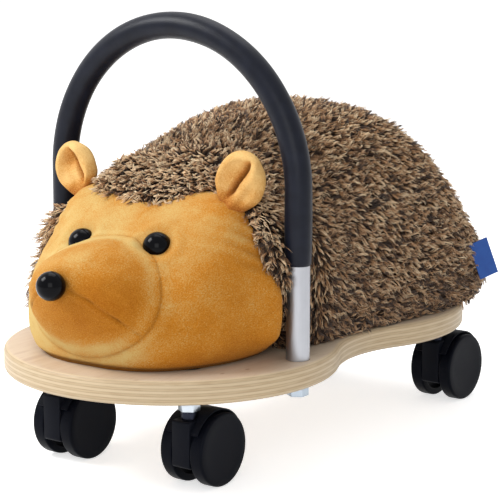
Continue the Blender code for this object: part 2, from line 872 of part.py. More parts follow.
def plush():
    body = lofted("body_plush", body_rings(), 1)
    head = lofted("head_plush", head_rings(), 1)
    body_room = grown(body, soft_gap)
    head_room = grown(head, soft_gap)
    panel_room = panel_mesh("panel_room", soft_gap)
    legs = [("DIFFERENCE", leg) for leg in leg_cutters()]
    cut_body = joined(body, [("DIFFERENCE", panel_room)] + legs)
    added("body_plush", smoothed(cut_body, 80), made_of=fur)
    cut_head = joined(head, [("DIFFERENCE", body_room), ("DIFFERENCE", panel_room)] + legs)
    added("head_plush", smoothed(cut_head, 80), made_of=face_plush)

    snout_centre = (0.0, snout_y, snout_height)
    snout_sizes = (snout_half_width, snout_half_length, snout_half_height)
    snout = ellipsoid_mesh("snout_plush", snout_centre, snout_sizes, 16, 12, rise=snout_tip_rise)
    snout_room = grown(snout, soft_gap)
    added("snout_plush", smoothed(joined(snout, [("DIFFERENCE", head_room)]), 80), made_of=face_plush)
    nose_y = snout_y - snout_half_length - nose_radius + nose_sink
    nose_centre = (0.0, nose_y, snout_height + snout_tip_rise)
    nose = ellipsoid_mesh("nose", nose_centre, (nose_radius,) * 3, 14, 10)
    cut_nose = joined(nose, [("DIFFERENCE", snout_room)])
    added("nose", smoothed(cut_nose, 80), made_of=gloss_black)

    eye_y = head_rear_y - head_length * eye_along_share
    eye_height = seat_height + head_height * eye_up_share
    ear_y = head_rear_y - head_length * ear_along_share
    ear_height = seat_height + head_height * ear_up_share
    for side, sign in (("left", 1), ("right", -1)):
        place = (sign * head_half_width * eye_out_share, eye_y, eye_height)
        eye = ellipsoid_mesh("eye_" + side, place, (eye_radius,) * 3, 14, 10)
        cut_eye = joined(eye, [("DIFFERENCE", head_room), ("DIFFERENCE", snout_room)])
        added("eye_" + side, smoothed(cut_eye, 80), made_of=gloss_black)

        place = (sign * head_half_width * ear_out_share, ear_y, ear_height)
        turn = Matrix.Rotation(math.radians(sign * ear_turn), 4, "Z")
        turn = turn @ Matrix.Rotation(math.radians(sign * ear_splay), 4, "Y")
        sizes = (ear_half_width, ear_half_thickness, ear_half_length)
        ear = ellipsoid_mesh("ear_" + side, place, sizes, 14, 10, bend=ear_cup, turn=turn)
        cut_ear = joined(ear, [("DIFFERENCE", head_room), ("DIFFERENCE", body_room)])
        added("ear_" + side, smoothed(cut_ear, 80), made_of=ear_plush)

    tag = bpy.data.meshes.new("tag")
    shape = bmesh.new()
    tag_x = body_half_width * tag_out_share
    tag_y = body_front_y + body_length * tag_along_share
    tag_height = seat_height + body_height * tag_up_share
    turn = Matrix.Translation((tag_x, tag_y, tag_height)) @ Matrix.Rotation(math.radians(tag_turn), 4, "Z")
    turn = turn @ Matrix.Rotation(math.radians(tag_lean), 4, "Y")
    size = Matrix.Diagonal((tag_width, tag_thickness, tag_length, 1))
    bmesh.ops.create_cube(shape, size=1.0, matrix=turn @ size)
    shape.to_mesh(tag)
    shape.free()
    added("side_tag", joined(tag, [("DIFFERENCE", body_room)]), made_of=blue_tape)


base_board()
handle()
handle_fixings()
casters()
seat_panel()
plush()
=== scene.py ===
import math

import bmesh
import bpy
import numpy as np
from mathutils import Matrix, Vector, noise
from mathutils.bvhtree import BVHTree
from mathutils.kdtree import KDTree


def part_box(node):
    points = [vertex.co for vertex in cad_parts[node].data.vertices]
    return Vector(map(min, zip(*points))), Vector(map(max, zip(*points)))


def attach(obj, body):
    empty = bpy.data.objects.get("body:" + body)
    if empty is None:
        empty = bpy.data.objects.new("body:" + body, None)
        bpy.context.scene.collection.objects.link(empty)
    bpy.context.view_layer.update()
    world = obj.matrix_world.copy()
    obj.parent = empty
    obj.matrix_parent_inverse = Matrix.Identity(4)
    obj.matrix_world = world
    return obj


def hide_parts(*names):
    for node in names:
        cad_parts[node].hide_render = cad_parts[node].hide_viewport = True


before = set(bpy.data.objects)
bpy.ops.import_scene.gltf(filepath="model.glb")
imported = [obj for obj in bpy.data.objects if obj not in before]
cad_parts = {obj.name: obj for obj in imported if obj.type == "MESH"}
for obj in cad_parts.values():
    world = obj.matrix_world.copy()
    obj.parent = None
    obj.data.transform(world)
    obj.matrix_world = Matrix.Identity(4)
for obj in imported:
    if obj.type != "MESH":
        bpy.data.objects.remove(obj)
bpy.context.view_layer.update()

collection = bpy.context.scene.collection
rng = np.random.default_rng(41)
corners = ("front_left", "front_right", "rear_left", "rear_right")

# heights shared by several pieces, in metres
level = {
    "axle": 0.030,
    "boardUnder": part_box("base_board")[0].z,
    "boardTop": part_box("base_board")[1].z,
    "seat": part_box("body_plush")[0].z,
}


# meshes and pieces


def meshOf(shape, name):
    mesh = bpy.data.meshes.new(name)
    shape.to_mesh(mesh)
    shape.free()
    return mesh


def piece(name, mesh, material, smooth, body="base", stands=None):
    # a finished piece, which stands for the CAD node of its own name unless stands says otherwise
    obj = bpy.data.objects.new(name, mesh)
    collection.objects.link(obj)
    obj.data.materials.clear()
    obj.data.materials.append(material)
    obj.data.set_sharp_from_angle(angle=math.radians(smooth))
    obj.data.polygons.foreach_set("use_smooth", [True] * len(obj.data.polygons))
    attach(obj, body)
    stands = (name,) if stands is None else stands
    if stands:
        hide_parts(*stands)
    return obj


def evaluated(mesh, modifiers):
    holder = bpy.data.objects.new("holder", mesh)
    collection.objects.link(holder)
    for kind, settings in modifiers:
        modifier = holder.modifiers.new(kind, kind)
        for key, value in settings.items():
            setattr(modifier, key, value)
    bpy.context.view_layer.update()
    graph = bpy.context.evaluated_depsgraph_get()
    result = bpy.data.meshes.new_from_object(holder.evaluated_get(graph))
    bpy.data.objects.remove(holder)
    return result


def combined(mesh, steps):
    holders = []
    modifiers = []
    for operation, other in steps:
        holder = bpy.data.objects.new("other", other)
        collection.objects.link(holder)
        holders.append(holder)
        modifiers.append(("BOOLEAN", {"operation": operation, "object": holder, "solver": "EXACT"}))
    result = evaluated(mesh, modifiers)
    for holder in holders:
        bpy.data.objects.remove(holder)
    return result


def vertsIn(items):
    return [item for item in items if isinstance(item, bmesh.types.BMVert)]


def ringOf(shape, verts):
    # edges that join the verts to a closed ring
    return [shape.edges.new((verts[index], verts[(index + 1) % len(verts)])) for index in range(len(verts))]


def spun(profile, steps, place=None):
    # profile holds (radius, height) pairs, turned about the Z axis
    shape = bmesh.new()
    verts = [shape.verts.new((radius, 0.0, height)) for radius, height in profile]
    edges = [shape.edges.new(pair) for pair in zip(verts, verts[1:])]
    bmesh.ops.spin(shape, geom=verts + edges, cent=(0, 0, 0), axis=(0, 0, 1), dvec=(0, 0, 0),
                   angle=2 * math.pi, steps=steps, use_merge=True)
    bmesh.ops.remove_doubles(shape, verts=shape.verts, dist=0.00001)
    bmesh.ops.recalc_face_normals(shape, faces=shape.faces)
    if place is not None:
        bmesh.ops.transform(shape, matrix=place, verts=shape.verts)
    return meshOf(shape, "spun")


def softened(profile, radii, steps):
    # rounds the corners of a profile whose numbers are in radii
    result = [profile[0]]
    for index in range(1, len(profile) - 1):
        radius = radii.get(index)
        if not radius:
            result.append(profile[index])
            continue
        before, corner, after = (Vector(point) for point in profile[index - 1:index + 2])
        start = corner + (before - corner).normalized() * radius
        end = corner + (after - corner).normalized() * radius
        for step in range(steps + 1):
            share = step / steps
            bent = start * (1 - share) ** 2 + corner * 2 * share * (1 - share) + end * share**2
            result.append(tuple(bent))
    return result + [profile[-1]]


def pin(radius, low, high):
    # the profile of a plain round bar or hole
    return ((0, high), (radius, high), (radius, low), (0, low))


def drill(x, y, profile, steps=32):
    return spun(profile, steps, Matrix.Translation((x, y, 0.0)))


def middleOf(node):
    low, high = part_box(node)
    return (low.x + high.x) / 2, (low.y + high.y) / 2


def swept(route, radii, sides):
    # a closed rod through the route's points, all in one plane that faces Y
    shape = bmesh.new()
    loops = []
    for index, point in enumerate(route):
        before = route[max(index - 1, 0)]
        after = route[min(index + 1, len(route) - 1)]
        along = (Vector(after) - Vector(before)).normalized()
        across = Vector((0, 1, 0))
        place = Matrix((across.cross(along), across, along)).transposed().to_4x4()
        place.translation = point
        ring = bmesh.ops.create_circle(shape, segments=sides, radius=radii[index], matrix=place)["verts"]
        loops.append([shape.edges.get((ring[i], ring[(i + 1) % sides])) for i in range(sides)])
    bridged(shape, loops)
    return meshOf(shape, "swept")


def bridged(shape, loops):
    # walls from loop to loop, and a cap on the first and the last
    for low, high in zip(loops, loops[1:]):
        bmesh.ops.bridge_loops(shape, edges=low + high)
    bmesh.ops.contextual_create(shape, geom=loops[0])
    bmesh.ops.contextual_create(shape, geom=loops[-1])
    bmesh.ops.recalc_face_normals(shape, faces=shape.faces)


def slab(shape, height, bevel, segments, clamp):
    # fills the flat outline, lifts it and rounds its lower and upper edges
    bmesh.ops.contextual_create(shape, geom=shape.edges[:])
    lifted = bmesh.ops.extrude_face_region(shape, geom=shape.faces[:])["geom"]
    bmesh.ops.translate(shape, vec=(0, 0, height), verts=vertsIn(lifted))
    bmesh.ops.recalc_face_normals(shape, faces=shape.faces)
    rim = [edge for edge in shape.edges if abs(edge.verts[0].co.z - edge.verts[1].co.z) < 1e-6]
    bmesh.ops.bevel(shape, geom=rim, offset=bevel, segments=segments, profile=0.5, affect="EDGES",
                    material=-1, clamp_overlap=clamp)


# colours and materials


def linear(red, green, blue):
    # a screen colour in the linear values that a shader reads
    parts = (part / 12.92 if part <= 0.04045 else ((part + 0.055) / 1.055) ** 2.4
             for part in (red, green, blue))
    return (*parts, 1.0)


def scaled(colour, share):
    return (*(part * share for part in colour[:3]), 1.0)


def grey(value):
    return (value, value, value, 1.0)


class Tree:
    def __init__(self, name):
        self.material = bpy.data.materials.new(name)
        self.material.use_nodes = True
        self.tree = self.material.node_tree
        self.shader = self.tree.nodes["Principled BSDF"]

    def add(self, kind, inputs=None, **settings):
        node = self.tree.nodes.new("ShaderNode" + kind)
        for key, value in settings.items():
            setattr(node, key, value)
        for key, value in (inputs or {}).items():
            self.put(node.inputs[key], value)
        return node

    def put(self, socket, value):
        if isinstance(value, bpy.types.NodeSocket):
            self.tree.links.new(value, socket)
        else:
            socket.default_value = value

    def shade(self, **values):
        for key, value in values.items():
            self.put(self.shader.inputs[key.replace("_", " ")], value)

    def object(self):
        return self.add("TexCoord").outputs["Object"]

    def axis(self, vector, name):
        return self.add("SeparateXYZ", {"Vector": vector}).outputs[name]

    def noise(self, stretch, detail=2.0, roughness=0.5, distortion=0.0, scale=1.0, shift=(0.0, 0.0, 0.0)):
        # stretch is one number, or one for each axis: the higher, the finer
        stretch = (stretch,) * 3 if isinstance(stretch, float) else stretch
        place = self.add("Mapping", {"Vector": self.object(), "Scale": stretch, "Location": shift})
        return self.add("TexNoise", {
            "Vector": place.outputs["Vector"], "Scale": scale, "Detail": detail,
            "Roughness": roughness, "Distortion": distortion,
        }).outputs["Fac"]

    def painted(self, attribute):
        colour = self.add("Attribute", attribute_type="GEOMETRY", attribute_name=attribute).outputs["Color"]
        return self.add("SeparateColor", {"Color": colour}).outputs

    def ramp(self, value, stops):
        node = self.add("ValToRGB", {"Fac": value})
        elements = node.color_ramp.elements
        while len(elements) < len(stops):
            elements.new(0.5)
        for element, (place, colour) in zip(elements, stops):
            element.position = place
            element.color = colour
        return node.outputs["Color"]

    def mix(self, share, first, second, blend="MIX"):
        node = self.add("Mix", data_type="RGBA", blend_type=blend, clamp_factor=True)
        self.put(node.inputs["Factor"], share)
        self.put(node.inputs[6], first)
        self.put(node.inputs[7], second)
        return node.outputs[2]

    def math(self, operation, first, second=0.0):
        node = self.add("Math", operation=operation)
        self.put(node.inputs[0], first)
        self.put(node.inputs[1], second)
        return node.outputs[0]

    def range(self, value, low, high, start=0.0, end=1.0):
        return self.add("MapRange", {"Value": value, "From Min": low, "From Max": high,
                                     "To Min": start, "To Max": end}).outputs["Result"]

    def bump(self, height, strength, distance, normal=None):
        inputs = {"Height": height, "Strength": strength, "Distance": distance}
        if normal is not None:
            inputs["Normal"] = normal
        return self.add("Bump", inputs).outputs["Normal"]


birchLook = {
    "veneer": 0.0012,
    "layer": 0.00220,
    "ripple": 0.00025,
    "pale": linear(0.835, 0.765, 0.675),
    "warm": linear(0.790, 0.700, 0.600),
    "fibre": linear(0.72, 0.58, 0.45),
    "fleck": linear(0.62, 0.46, 0.33),
    "edgeLight": linear(0.810, 0.730, 0.600),
    "edgeDark": linear(0.680, 0.575, 0.440),
    "glue": linear(0.420, 0.290, 0.180),
    "stain": linear(0.560, 0.360, 0.240),
    # stains on the top: middle in x and y, half width, half length and strength
    "stains": (
        (-0.052, -0.205, 0.0050, 0.022, 0.26),
        (-0.072, -0.196, 0.0030, 0.014, 0.22),
        (0.1085, -0.1330, 0.0022, 0.0032, 0.6),
        (0.1010, -0.1560, 0.0016, 0.0030, 0.5),
        (0.060, -0.216, 0.0022, 0.009, 0.3),
    ),
}


def birchMaterial():
    finish = Tree("birch plywood")
    look = birchLook
    coords = finish.object()
    # the faces: figure, fibre, flecks and a few stains
    figure = finish.noise((11.0, 2.2, 11.0), 3.0, 0.55, 0.6, scale=1.6)
    fibre = finish.noise((430.0, 16.0, 430.0), 3.0, 0.6)
    flecks = finish.noise((900.0, 60.0, 900.0), shift=(3.0, 1.0, 2.0))
    face = finish.mix(finish.range(figure, 0.35, 0.68), look["pale"], look["warm"])
    face = finish.mix(finish.range(fibre, 0.48, 0.80, 0.0, 0.42), face, look["fibre"])
    face = finish.mix(finish.range(flecks, 0.62, 0.75, 0.0, 0.35), face, look["fleck"])
    for x, y, wide, long, depth in look["stains"]:
        away = finish.math("MULTIPLY", finish.noise((60.0, 30.0, 60.0), shift=(x * 90, y * 70, 0.0)), 0.9)
        for axis, middle, half in (("X", x, wide), ("Y", y, long)):
            reach = finish.math("DIVIDE", finish.math("SUBTRACT", finish.axis(coords, axis), middle), half)
            away = finish.math("ADD", away, finish.math("MULTIPLY", reach, reach))
        face = finish.mix(finish.range(away, 0.55, 1.5, depth, 0.0), face, look["stain"])
    # the edge: light and dark layers with glue between them
    height = finish.math("SUBTRACT", finish.axis(coords, "Z"), level["boardUnder"])
    ripple = finish.noise((9.0, 9.0, 60.0))
    height = finish.math("ADD", height, finish.range(ripple, 0.0, 1.0, -look["ripple"], look["ripple"]))
    layer = finish.math("DIVIDE", finish.math("SUBTRACT", height, look["veneer"]), look["layer"])
    odd = finish.math("GREATER_THAN", finish.math("FRACT", finish.math("MULTIPLY", layer, 0.5)), 0.5)
    pores = finish.noise((70.0, 70.0, 900.0))
    light = finish.mix(finish.range(pores, 0.35, 0.75, 0.0, 0.22), look["edgeLight"], look["edgeDark"])
    dark = finish.mix(finish.range(pores, 0.30, 0.70, 0.30, 0.75), look["edgeLight"], look["edgeDark"])
    seam = finish.range(finish.math("PINGPONG", layer, 0.5), 0.0, 0.14, 0.34, 0.0)
    edge = finish.mix(seam, finish.mix(odd, light, dark), look["glue"])
    upward = finish.axis(finish.add("NewGeometry").outputs["Normal"], "Z")
    flat = finish.range(finish.math("ABSOLUTE", upward), 0.90, 0.985)
    finish.shade(Base_Color=finish.mix(flat, edge, face), Specular_IOR_Level=0.35,
                 Roughness=finish.range(fibre, 0.3, 0.7, 0.52, 0.40), Normal=finish.bump(fibre, 0.25, 0.0004))
    return finish.material


def metalMaterial(name, colour, low, high, stretch, brushed=0.0):
    finish = Tree(name)
    scratch = finish.noise(stretch, 3.0, 0.6)
    cloud = finish.range(finish.noise(60.0), 0.3, 0.7, 0.0, 0.35)
    finish.shade(Base_Color=finish.mix(cloud, colour, scaled(colour, 0.82)), Metallic=1.0,
                 Roughness=finish.range(scratch, 0.3, 0.7, low, high), Anisotropic=brushed,
                 Normal=finish.bump(scratch, 0.10, 0.0002))
    return finish.material


stemLook = {
    # painted shade: the metal neck below the hexagon is coloured dark for the shade it sits in
    "dark": linear(0.15, 0.16, 0.20),
    "bright": linear(0.74, 0.77, 0.80),
    "change": (0.0629, 0.0632),  # heights between which the dark neck gives way to the bright hexagon
}


def stemMaterial():
    finish = Tree("caster stem")
    # painted shade on the neck, bright zinc on the hexagon above it
    bright = finish.range(finish.axis(finish.object(), "Z"), *stemLook["change"])
    finish.shade(Base_Color=finish.mix(bright, stemLook["dark"], stemLook["bright"]), Metallic=1.0,
                 Roughness=finish.range(finish.noise(240.0), 0.3, 0.7, 0.26, 0.40))
    return finish.material


def plasticMaterial(name, colour, grain):
    finish = Tree(name)
    broad = finish.noise(45.0, 3.0)
    tint = finish.mix(finish.range(broad, 0.3, 0.7, 0.0, 0.5), colour, scaled(colour, 1.5))
    finish.shade(Base_Color=tint, Roughness=finish.range(broad, 0.3, 0.7, 0.34, 0.46),
                 Specular_IOR_Level=0.05, Normal=finish.bump(finish.noise(grain), 0.12, 0.0002))
    return finish.material


def foamMaterial():
    finish = Tree("black foam")
    pores = finish.noise(1500.0)
    dents = finish.noise(90.0, 3.0)
    low, high = linear(0.050, 0.062, 0.105), linear(0.085, 0.098, 0.145)
    finish.shade(Base_Color=finish.mix(finish.range(dents, 0.3, 0.7), low, high), Roughness=0.38,
                 Specular_IOR_Level=0.17, Sheen_Weight=0.05, Sheen_Roughness=0.4,
                 Normal=finish.bump(pores, 0.30, 0.0003, finish.bump(dents, 0.25, 0.0006)))
    return finish.material


furLook = {
    # from near-black roots to pale tips: the roots' darkness is partly the fur's own and partly painted shade
    # between the strands
    "stops": (
        (0.0, linear(0.080, 0.050, 0.030)),
        (0.28, linear(0.190, 0.125, 0.080)),
        (0.50, linear(0.735, 0.585, 0.420)),
        (0.88, linear(1.000, 0.925, 0.785)),
    ),
    "warm": linear(0.94, 0.80, 0.66),
    "patch": linear(0.42, 0.31, 0.22),
}


def furMaterial():
    # red holds each strand's tone from root to tip, its dark roots partly the fur's own colour and partly
    # painted shade between the strands, green how cool it is, and low blue the duller patches
    finish = Tree("brown fur")
    split = finish.painted("furShade")
    colour = finish.ramp(split[0], furLook["stops"])
    warm = finish.mix(1.0, colour, furLook["warm"], "MULTIPLY")
    colour = finish.mix(split[1], warm, colour)
    colour = finish.mix(finish.range(split[2], 0.0, 1.0, 0.45, 0.0), colour, furLook["patch"])
    finish.shade(Base_Color=colour, Roughness=0.55, Specular_IOR_Level=0.34, Sheen_Weight=0.10,
                 Sheen_Roughness=0.5)
    return finish.material


def skinMaterial():
    finish = Tree("fur backing")
    # painted shade: the backing is coloured dark brown for the shade deep among the strands
    weave = finish.noise(700.0)
    colour = finish.mix(weave, linear(0.12, 0.080, 0.055), linear(0.22, 0.150, 0.100))
    finish.shade(Base_Color=colour, Roughness=0.9, Specular_IOR_Level=0.1,
                 Normal=finish.bump(weave, 0.5, 0.001))
    return finish.material


def plushMaterial(name, attribute, pale, middle, deep):
    # red holds the tone, green the painted shade in a seam, a crease or a hollow
    finish = Tree(name)
    split = finish.painted(attribute)
    brushed = finish.noise((60.0, 45.0, 80.0), 3.0, 0.55, 0.8)
    nap = finish.noise((1080.0, 800.0, 1240.0), 2.0, 0.6, 0.3)
    value = finish.math("ADD", split[0], finish.range(brushed, 0.30, 0.70, -0.07, 0.07))
    amount = finish.range(split[0], 0.45, 0.85, 1.0, 0.50)
    speckle = finish.math("MULTIPLY", finish.range(nap, 0.30, 0.70, -0.28, 0.20), amount)
    value = finish.math("ADD", value, speckle)
    colour = finish.ramp(value, ((0.08, deep), (0.50, middle), (0.92, pale)))
    # painted shade: darker towards the deep colour by the green channel
    colour = finish.mix(split[1], colour, scaled(deep, 0.34))
    strength = finish.math("MULTIPLY", amount, 0.85)
    relief = finish.bump(nap, strength, 0.0018, finish.bump(brushed, 0.25, 0.0012))
    finish.shade(Base_Color=colour, Roughness=0.80, Specular_IOR_Level=0.15, Sheen_Weight=0.30,
                 Sheen_Roughness=0.45, Sheen_Tint=pale, Normal=relief)
    return finish.material


def glossMaterial():
    finish = Tree("gloss black")
    dust = finish.range(finish.noise(220.0), 0.3, 0.8, 0.10, 0.18)
    finish.shade(Base_Color=linear(0.012, 0.012, 0.026), Roughness=dust, Specular_IOR_Level=0.09)
    return finish.material


def tapeMaterial():
    finish = Tree("blue tape")
    weave = finish.add("TexWave", {"Vector": finish.object(), "Scale": 520.0, "Distortion": 0.4},
                       bands_direction="Z").outputs["Fac"]
    cloud = finish.range(finish.noise(130.0, 3.0), 0.3, 0.7, 0.0, 0.3)
    colour = finish.mix(weave, linear(0.020, 0.235, 0.540), linear(0.050, 0.295, 0.610))
    colour = finish.mix(cloud, colour, linear(0.110, 0.370, 0.690))
    finish.shade(Base_Color=colour, Roughness=0.55, Sheen_Weight=0.1, Normal=finish.bump(weave, 0.3, 0.0003))
    return finish.material


print("materials")
birch = birchMaterial()
tubeSilver = metalMaterial("brushed tube", linear(0.67, 0.675, 0.695), 0.34, 0.46, (700.0, 700.0, 24.0), 0.3)
zinc = metalMaterial("zinc steel", linear(0.66, 0.70, 0.74), 0.26, 0.40, 240.0)
stemSteel = stemMaterial()
foam = foamMaterial()
casterBlack = plasticMaterial("caster plastic", linear(0.060, 0.068, 0.095), 900.0)
treadBlack = plasticMaterial("tread plastic", linear(0.025, 0.034, 0.066), 700.0)
furBrown = furMaterial()
skinBrown = skinMaterial()
facePlush = plushMaterial("yellow plush", "faceShade", linear(0.810, 0.695, 0.440),
                          linear(0.772, 0.497, 0.135), linear(0.680, 0.386, 0.022))
earPlush = plushMaterial("orange plush", "earShade", linear(0.920, 0.765, 0.500),
                         linear(0.810, 0.560, 0.260), linear(0.660, 0.365, 0.090))
gloss = glossMaterial()
tape = tapeMaterial()

# what the CAD nodes wear, by how their names begin; all others are zinc
wears = {
    "base_board": birch, "seat_panel": birch, "handle_tube": tubeSilver, "foam_grip": foam,
    "caster_housing": casterBlack, "wheel": casterBlack, "body_plush": skinBrown, "head_plush": skinBrown,
    "snout_plush": skinBrown, "ear": earPlush, "nose": gloss, "eye": gloss, "side_tag": tape,
}
for nodeName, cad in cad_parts.items():
    worn = next((finish for start, finish in wears.items() if nodeName.startswith(start)), zinc)
    for slotIndex in range(len(cad.data.materials)):
        cad.data.materials[slotIndex] = worn


# the board

board = {
    "frontY": -0.0904,
    "frontRadius": 0.1385,
    "rearY": 0.1220,
    "rearRadius": 0.1300,
    "waistRadius": 0.1130,
    "edgeRound": 0.0044,
    "lobeSteps": 56,
    "waistSteps": 24,
    "teeNut": (0.0103, 0.0063, 0.0018),  # radius of its flange and barrel, and how deep it sits
    "screw": (0.0023, 0.0046, 0.0025),  # radius of the hole and of its sink, and the sink's depth
    "bolt": 0.0043,
    "past": 0.004,  # how far a cutter stands past the board
}


def waistCentre():
    reachFront = board["frontRadius"] + board["waistRadius"]
    reachRear = board["rearRadius"] + board["waistRadius"]
    gap = board["rearY"] - board["frontY"]
    alongGap = (reachFront**2 - reachRear**2 + gap**2) / (2 * gap)
    return math.sqrt(reachFront**2 - alongGap**2), board["frontY"] + alongGap


def insideBoard(points, grow):
    # which of the points lie over the board's outline
    waistX, waistY = waistCentre()
    x, y = np.abs(points[:, 0]), points[:, 1]
    front = np.hypot(x, y - board["frontY"]) < board["frontRadius"] + grow
    rear = np.hypot(x, y - board["rearY"]) < board["rearRadius"] + grow
    slim = np.hypot(x - waistX, y - waistY) > board["waistRadius"] - grow
    between = (y > board["frontY"]) & (y < board["rearY"]) & (x < waistX) & slim
    return front | rear | between


def boardShape():
    # half of the outline in three arcs, mirrored
    waistX, waistY = waistCentre()
    frontAngle = math.atan2(waistY - board["frontY"], waistX)
    rearAngle = math.atan2(waistY - board["rearY"], waistX)
    arcs = (
        ((0.0, board["frontY"]), math.pi / 2 + frontAngle, board["lobeSteps"]),
        ((waistX, waistY), -(frontAngle - rearAngle), board["waistSteps"]),
        ((0.0, board["rearY"]), math.pi / 2 - rearAngle, board["lobeSteps"]),
    )
    shape = bmesh.new()
    last = [shape.verts.new((0.0, board["frontY"] - board["frontRadius"], level["boardUnder"]))]
    for (x, y), angle, steps in arcs:
        done = bmesh.ops.spin(shape, geom=last, cent=(x, y, 0.0), axis=(0, 0, 1), dvec=(0, 0, 0),
                              angle=angle, steps=steps)
        last = vertsIn(done["geom_last"])
    bmesh.ops.mirror(shape, geom=shape.verts[:] + shape.edges[:], matrix=Matrix.Identity(4),
                     merge_dist=0.00001, axis="X")
    bmesh.ops.remove_doubles(shape, verts=shape.verts, dist=0.00002)
    slab(shape, level["boardTop"] - level["boardUnder"], board["edgeRound"], 5, False)
    bmesh.ops.recalc_face_normals(shape, faces=shape.faces)
    return shape


def makeBoard():
    under, top = level["boardUnder"], level["boardTop"]
    low, high = under - board["past"], top + board["past"]
    flange, barrel, deep = board["teeNut"]
    hole, wide, sink = board["screw"]
    teeNut = ((0, high), (flange, high), (flange, top - deep), (barrel, top - deep), (barrel, low), (0, low))
    screw = ((0, high), (hole, high), (hole, under + sink), (wide, under), (wide, low), (0, low))
    holes = []
    for corner in corners:
        holes.append(drill(*middleOf("caster_stem_" + corner), teeNut))
        holes.append(drill(*middleOf("panel_screw_" + corner), screw))
    for side in ("left", "right"):
        holes.append(drill(*middleOf("handle_bolt_" + side), pin(board["bolt"], low, high)))
    mesh = combined(meshOf(boardShape(), "board"), [("DIFFERENCE", cutter) for cutter in holes])
    piece("board", mesh, birch, 30, stands=["base_board"])


print("board")
makeBoard()


# nuts, bolts and washers

hardware = {
    "hexRadius": 0.0090,
    "hexChamfer": 0.0005,
    "headTall": 0.0074,
    "hole": 0.0043,
    "thread": 0.0040,
    "threadTip": 0.0034,
    "tipTall": 0.0006,
    "boltWasher": 0.0100,
    "casterWasher": 0.0105,
}


def hexPrism(low, high, place):
    shape = bmesh.new()
    radius = hardware["hexRadius"]
    bmesh.ops.create_cone(shape, cap_ends=True, segments=6, radius1=radius, radius2=radius,
                          depth=high - low, matrix=Matrix.Translation((0, 0, (low + high) / 2)))
    bmesh.ops.bevel(shape, geom=list(shape.edges), offset=hardware["hexChamfer"], segments=2, profile=0.5,
                    affect="EDGES", material=-1)
    bmesh.ops.transform(shape, matrix=place, verts=shape.verts)
    return meshOf(shape, "hexagon")


def makeWasher(node, outer, place):
    low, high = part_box(node)
    inner = hardware["hole"]
    profile = ((inner, high.z), (outer, high.z), (outer, low.z), (inner, low.z), (inner, high.z))
    mesh = spun(softened(profile, {1: 0.0003, 2: 0.0004}, 3), 48, place)
    piece(node, mesh, zinc, 35)


def makeBolt(side):
    node = "handle_bolt_" + side
    low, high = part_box(node)
    x, y = middleOf(node)
    place = Matrix.Translation((x, y, 0.0))
    head = hexPrism(low.z, low.z + hardware["headTall"], place)
    thread, foot = hardware["thread"], low.z + 0.003
    shank = drill(x, y, ((0, high.z), (hardware["threadTip"], high.z), (thread, high.z - hardware["tipTall"]),
                         (thread, foot), (0, foot)))
    piece(node, combined(head, [("UNION", shank)]), zinc, 30)
    makeWasher("bolt_washer_" + side, hardware["boltWasher"], place)


# the handle

handle = {
    "halfSpan": 0.1210,
    "y": -0.0825,
    "spring": 0.2323,
    "rise": 0.1253,
    "tubeRadius": 0.0095,
    "tubeWall": 0.0015,
    "gripRadius": 0.0110,
    "gripFootRadius": 0.0104,
    "gripFoot": 0.1750,
    "gripFlare": 0.012,  # length over which the foot widens to the grip
    "gripRipple": 0.00022,
    "gripLip": (0.0006, 0.0007),  # how far the soft end stands down, and how much it draws in
    "boreRoom": 0.00012,
    "steps": 72,
}


def hoop(foot, legSteps=14):
    # points up one leg, over the hoop and down the other
    half, y, spring = handle["halfSpan"], handle["y"], handle["spring"]
    leg = [foot + (spring - foot) * step / legSteps for step in range(legSteps)]
    points = [(half, y, height) for height in leg]
    for step in range(handle["steps"] + 1):
        angle = math.pi * step / handle["steps"]
        points.append((half * math.cos(angle), y, spring + handle["rise"] * math.sin(angle)))
    return points + [(-half, y, height) for height in reversed(leg)]


def evenRod(route, radius, sides):
    return swept(route, [radius] * len(route), sides)


def makeTube():
    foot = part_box("handle_tube")[0].z
    outside = evenRod(hoop(foot), handle["tubeRadius"], 40)
    inside = evenRod(hoop(foot - 0.002), handle["tubeRadius"] - handle["tubeWall"], 28)
    piece("handle_tube", combined(outside, [("DIFFERENCE", inside)]), tubeSilver, 50)


def makeGrip():
    route = hoop(handle["gripFoot"], 20)
    full, foot = handle["gripRadius"], handle["gripFootRadius"]
    radii = []
    for x, y, z in route:
        share = min((z - handle["gripFoot"]) / handle["gripFlare"], 1.0)
        ripple = noise.noise(Vector((x * 26, 3.0, z * 26))) * handle["gripRipple"]
        radii.append(foot + (full - foot) * share + ripple * share)
    down, drawn = handle["gripLip"]
    ends = [(x, y, z - down) for x, y, z in (route[0], route[-1])]
    sleeve = swept([ends[0]] + route + [ends[1]], [foot - drawn] + radii + [foot - drawn], 44)
    bore = evenRod(hoop(handle["gripFoot"] - 0.003, 20), handle["tubeRadius"] + handle["boreRoom"], 40)
    piece("foam_grip", combined(sleeve, [("DIFFERENCE", bore)]), foam, 55)


print("handle")
makeTube()
makeGrip()
for side in ("left", "right"):
    makeBolt(side)


# the casters

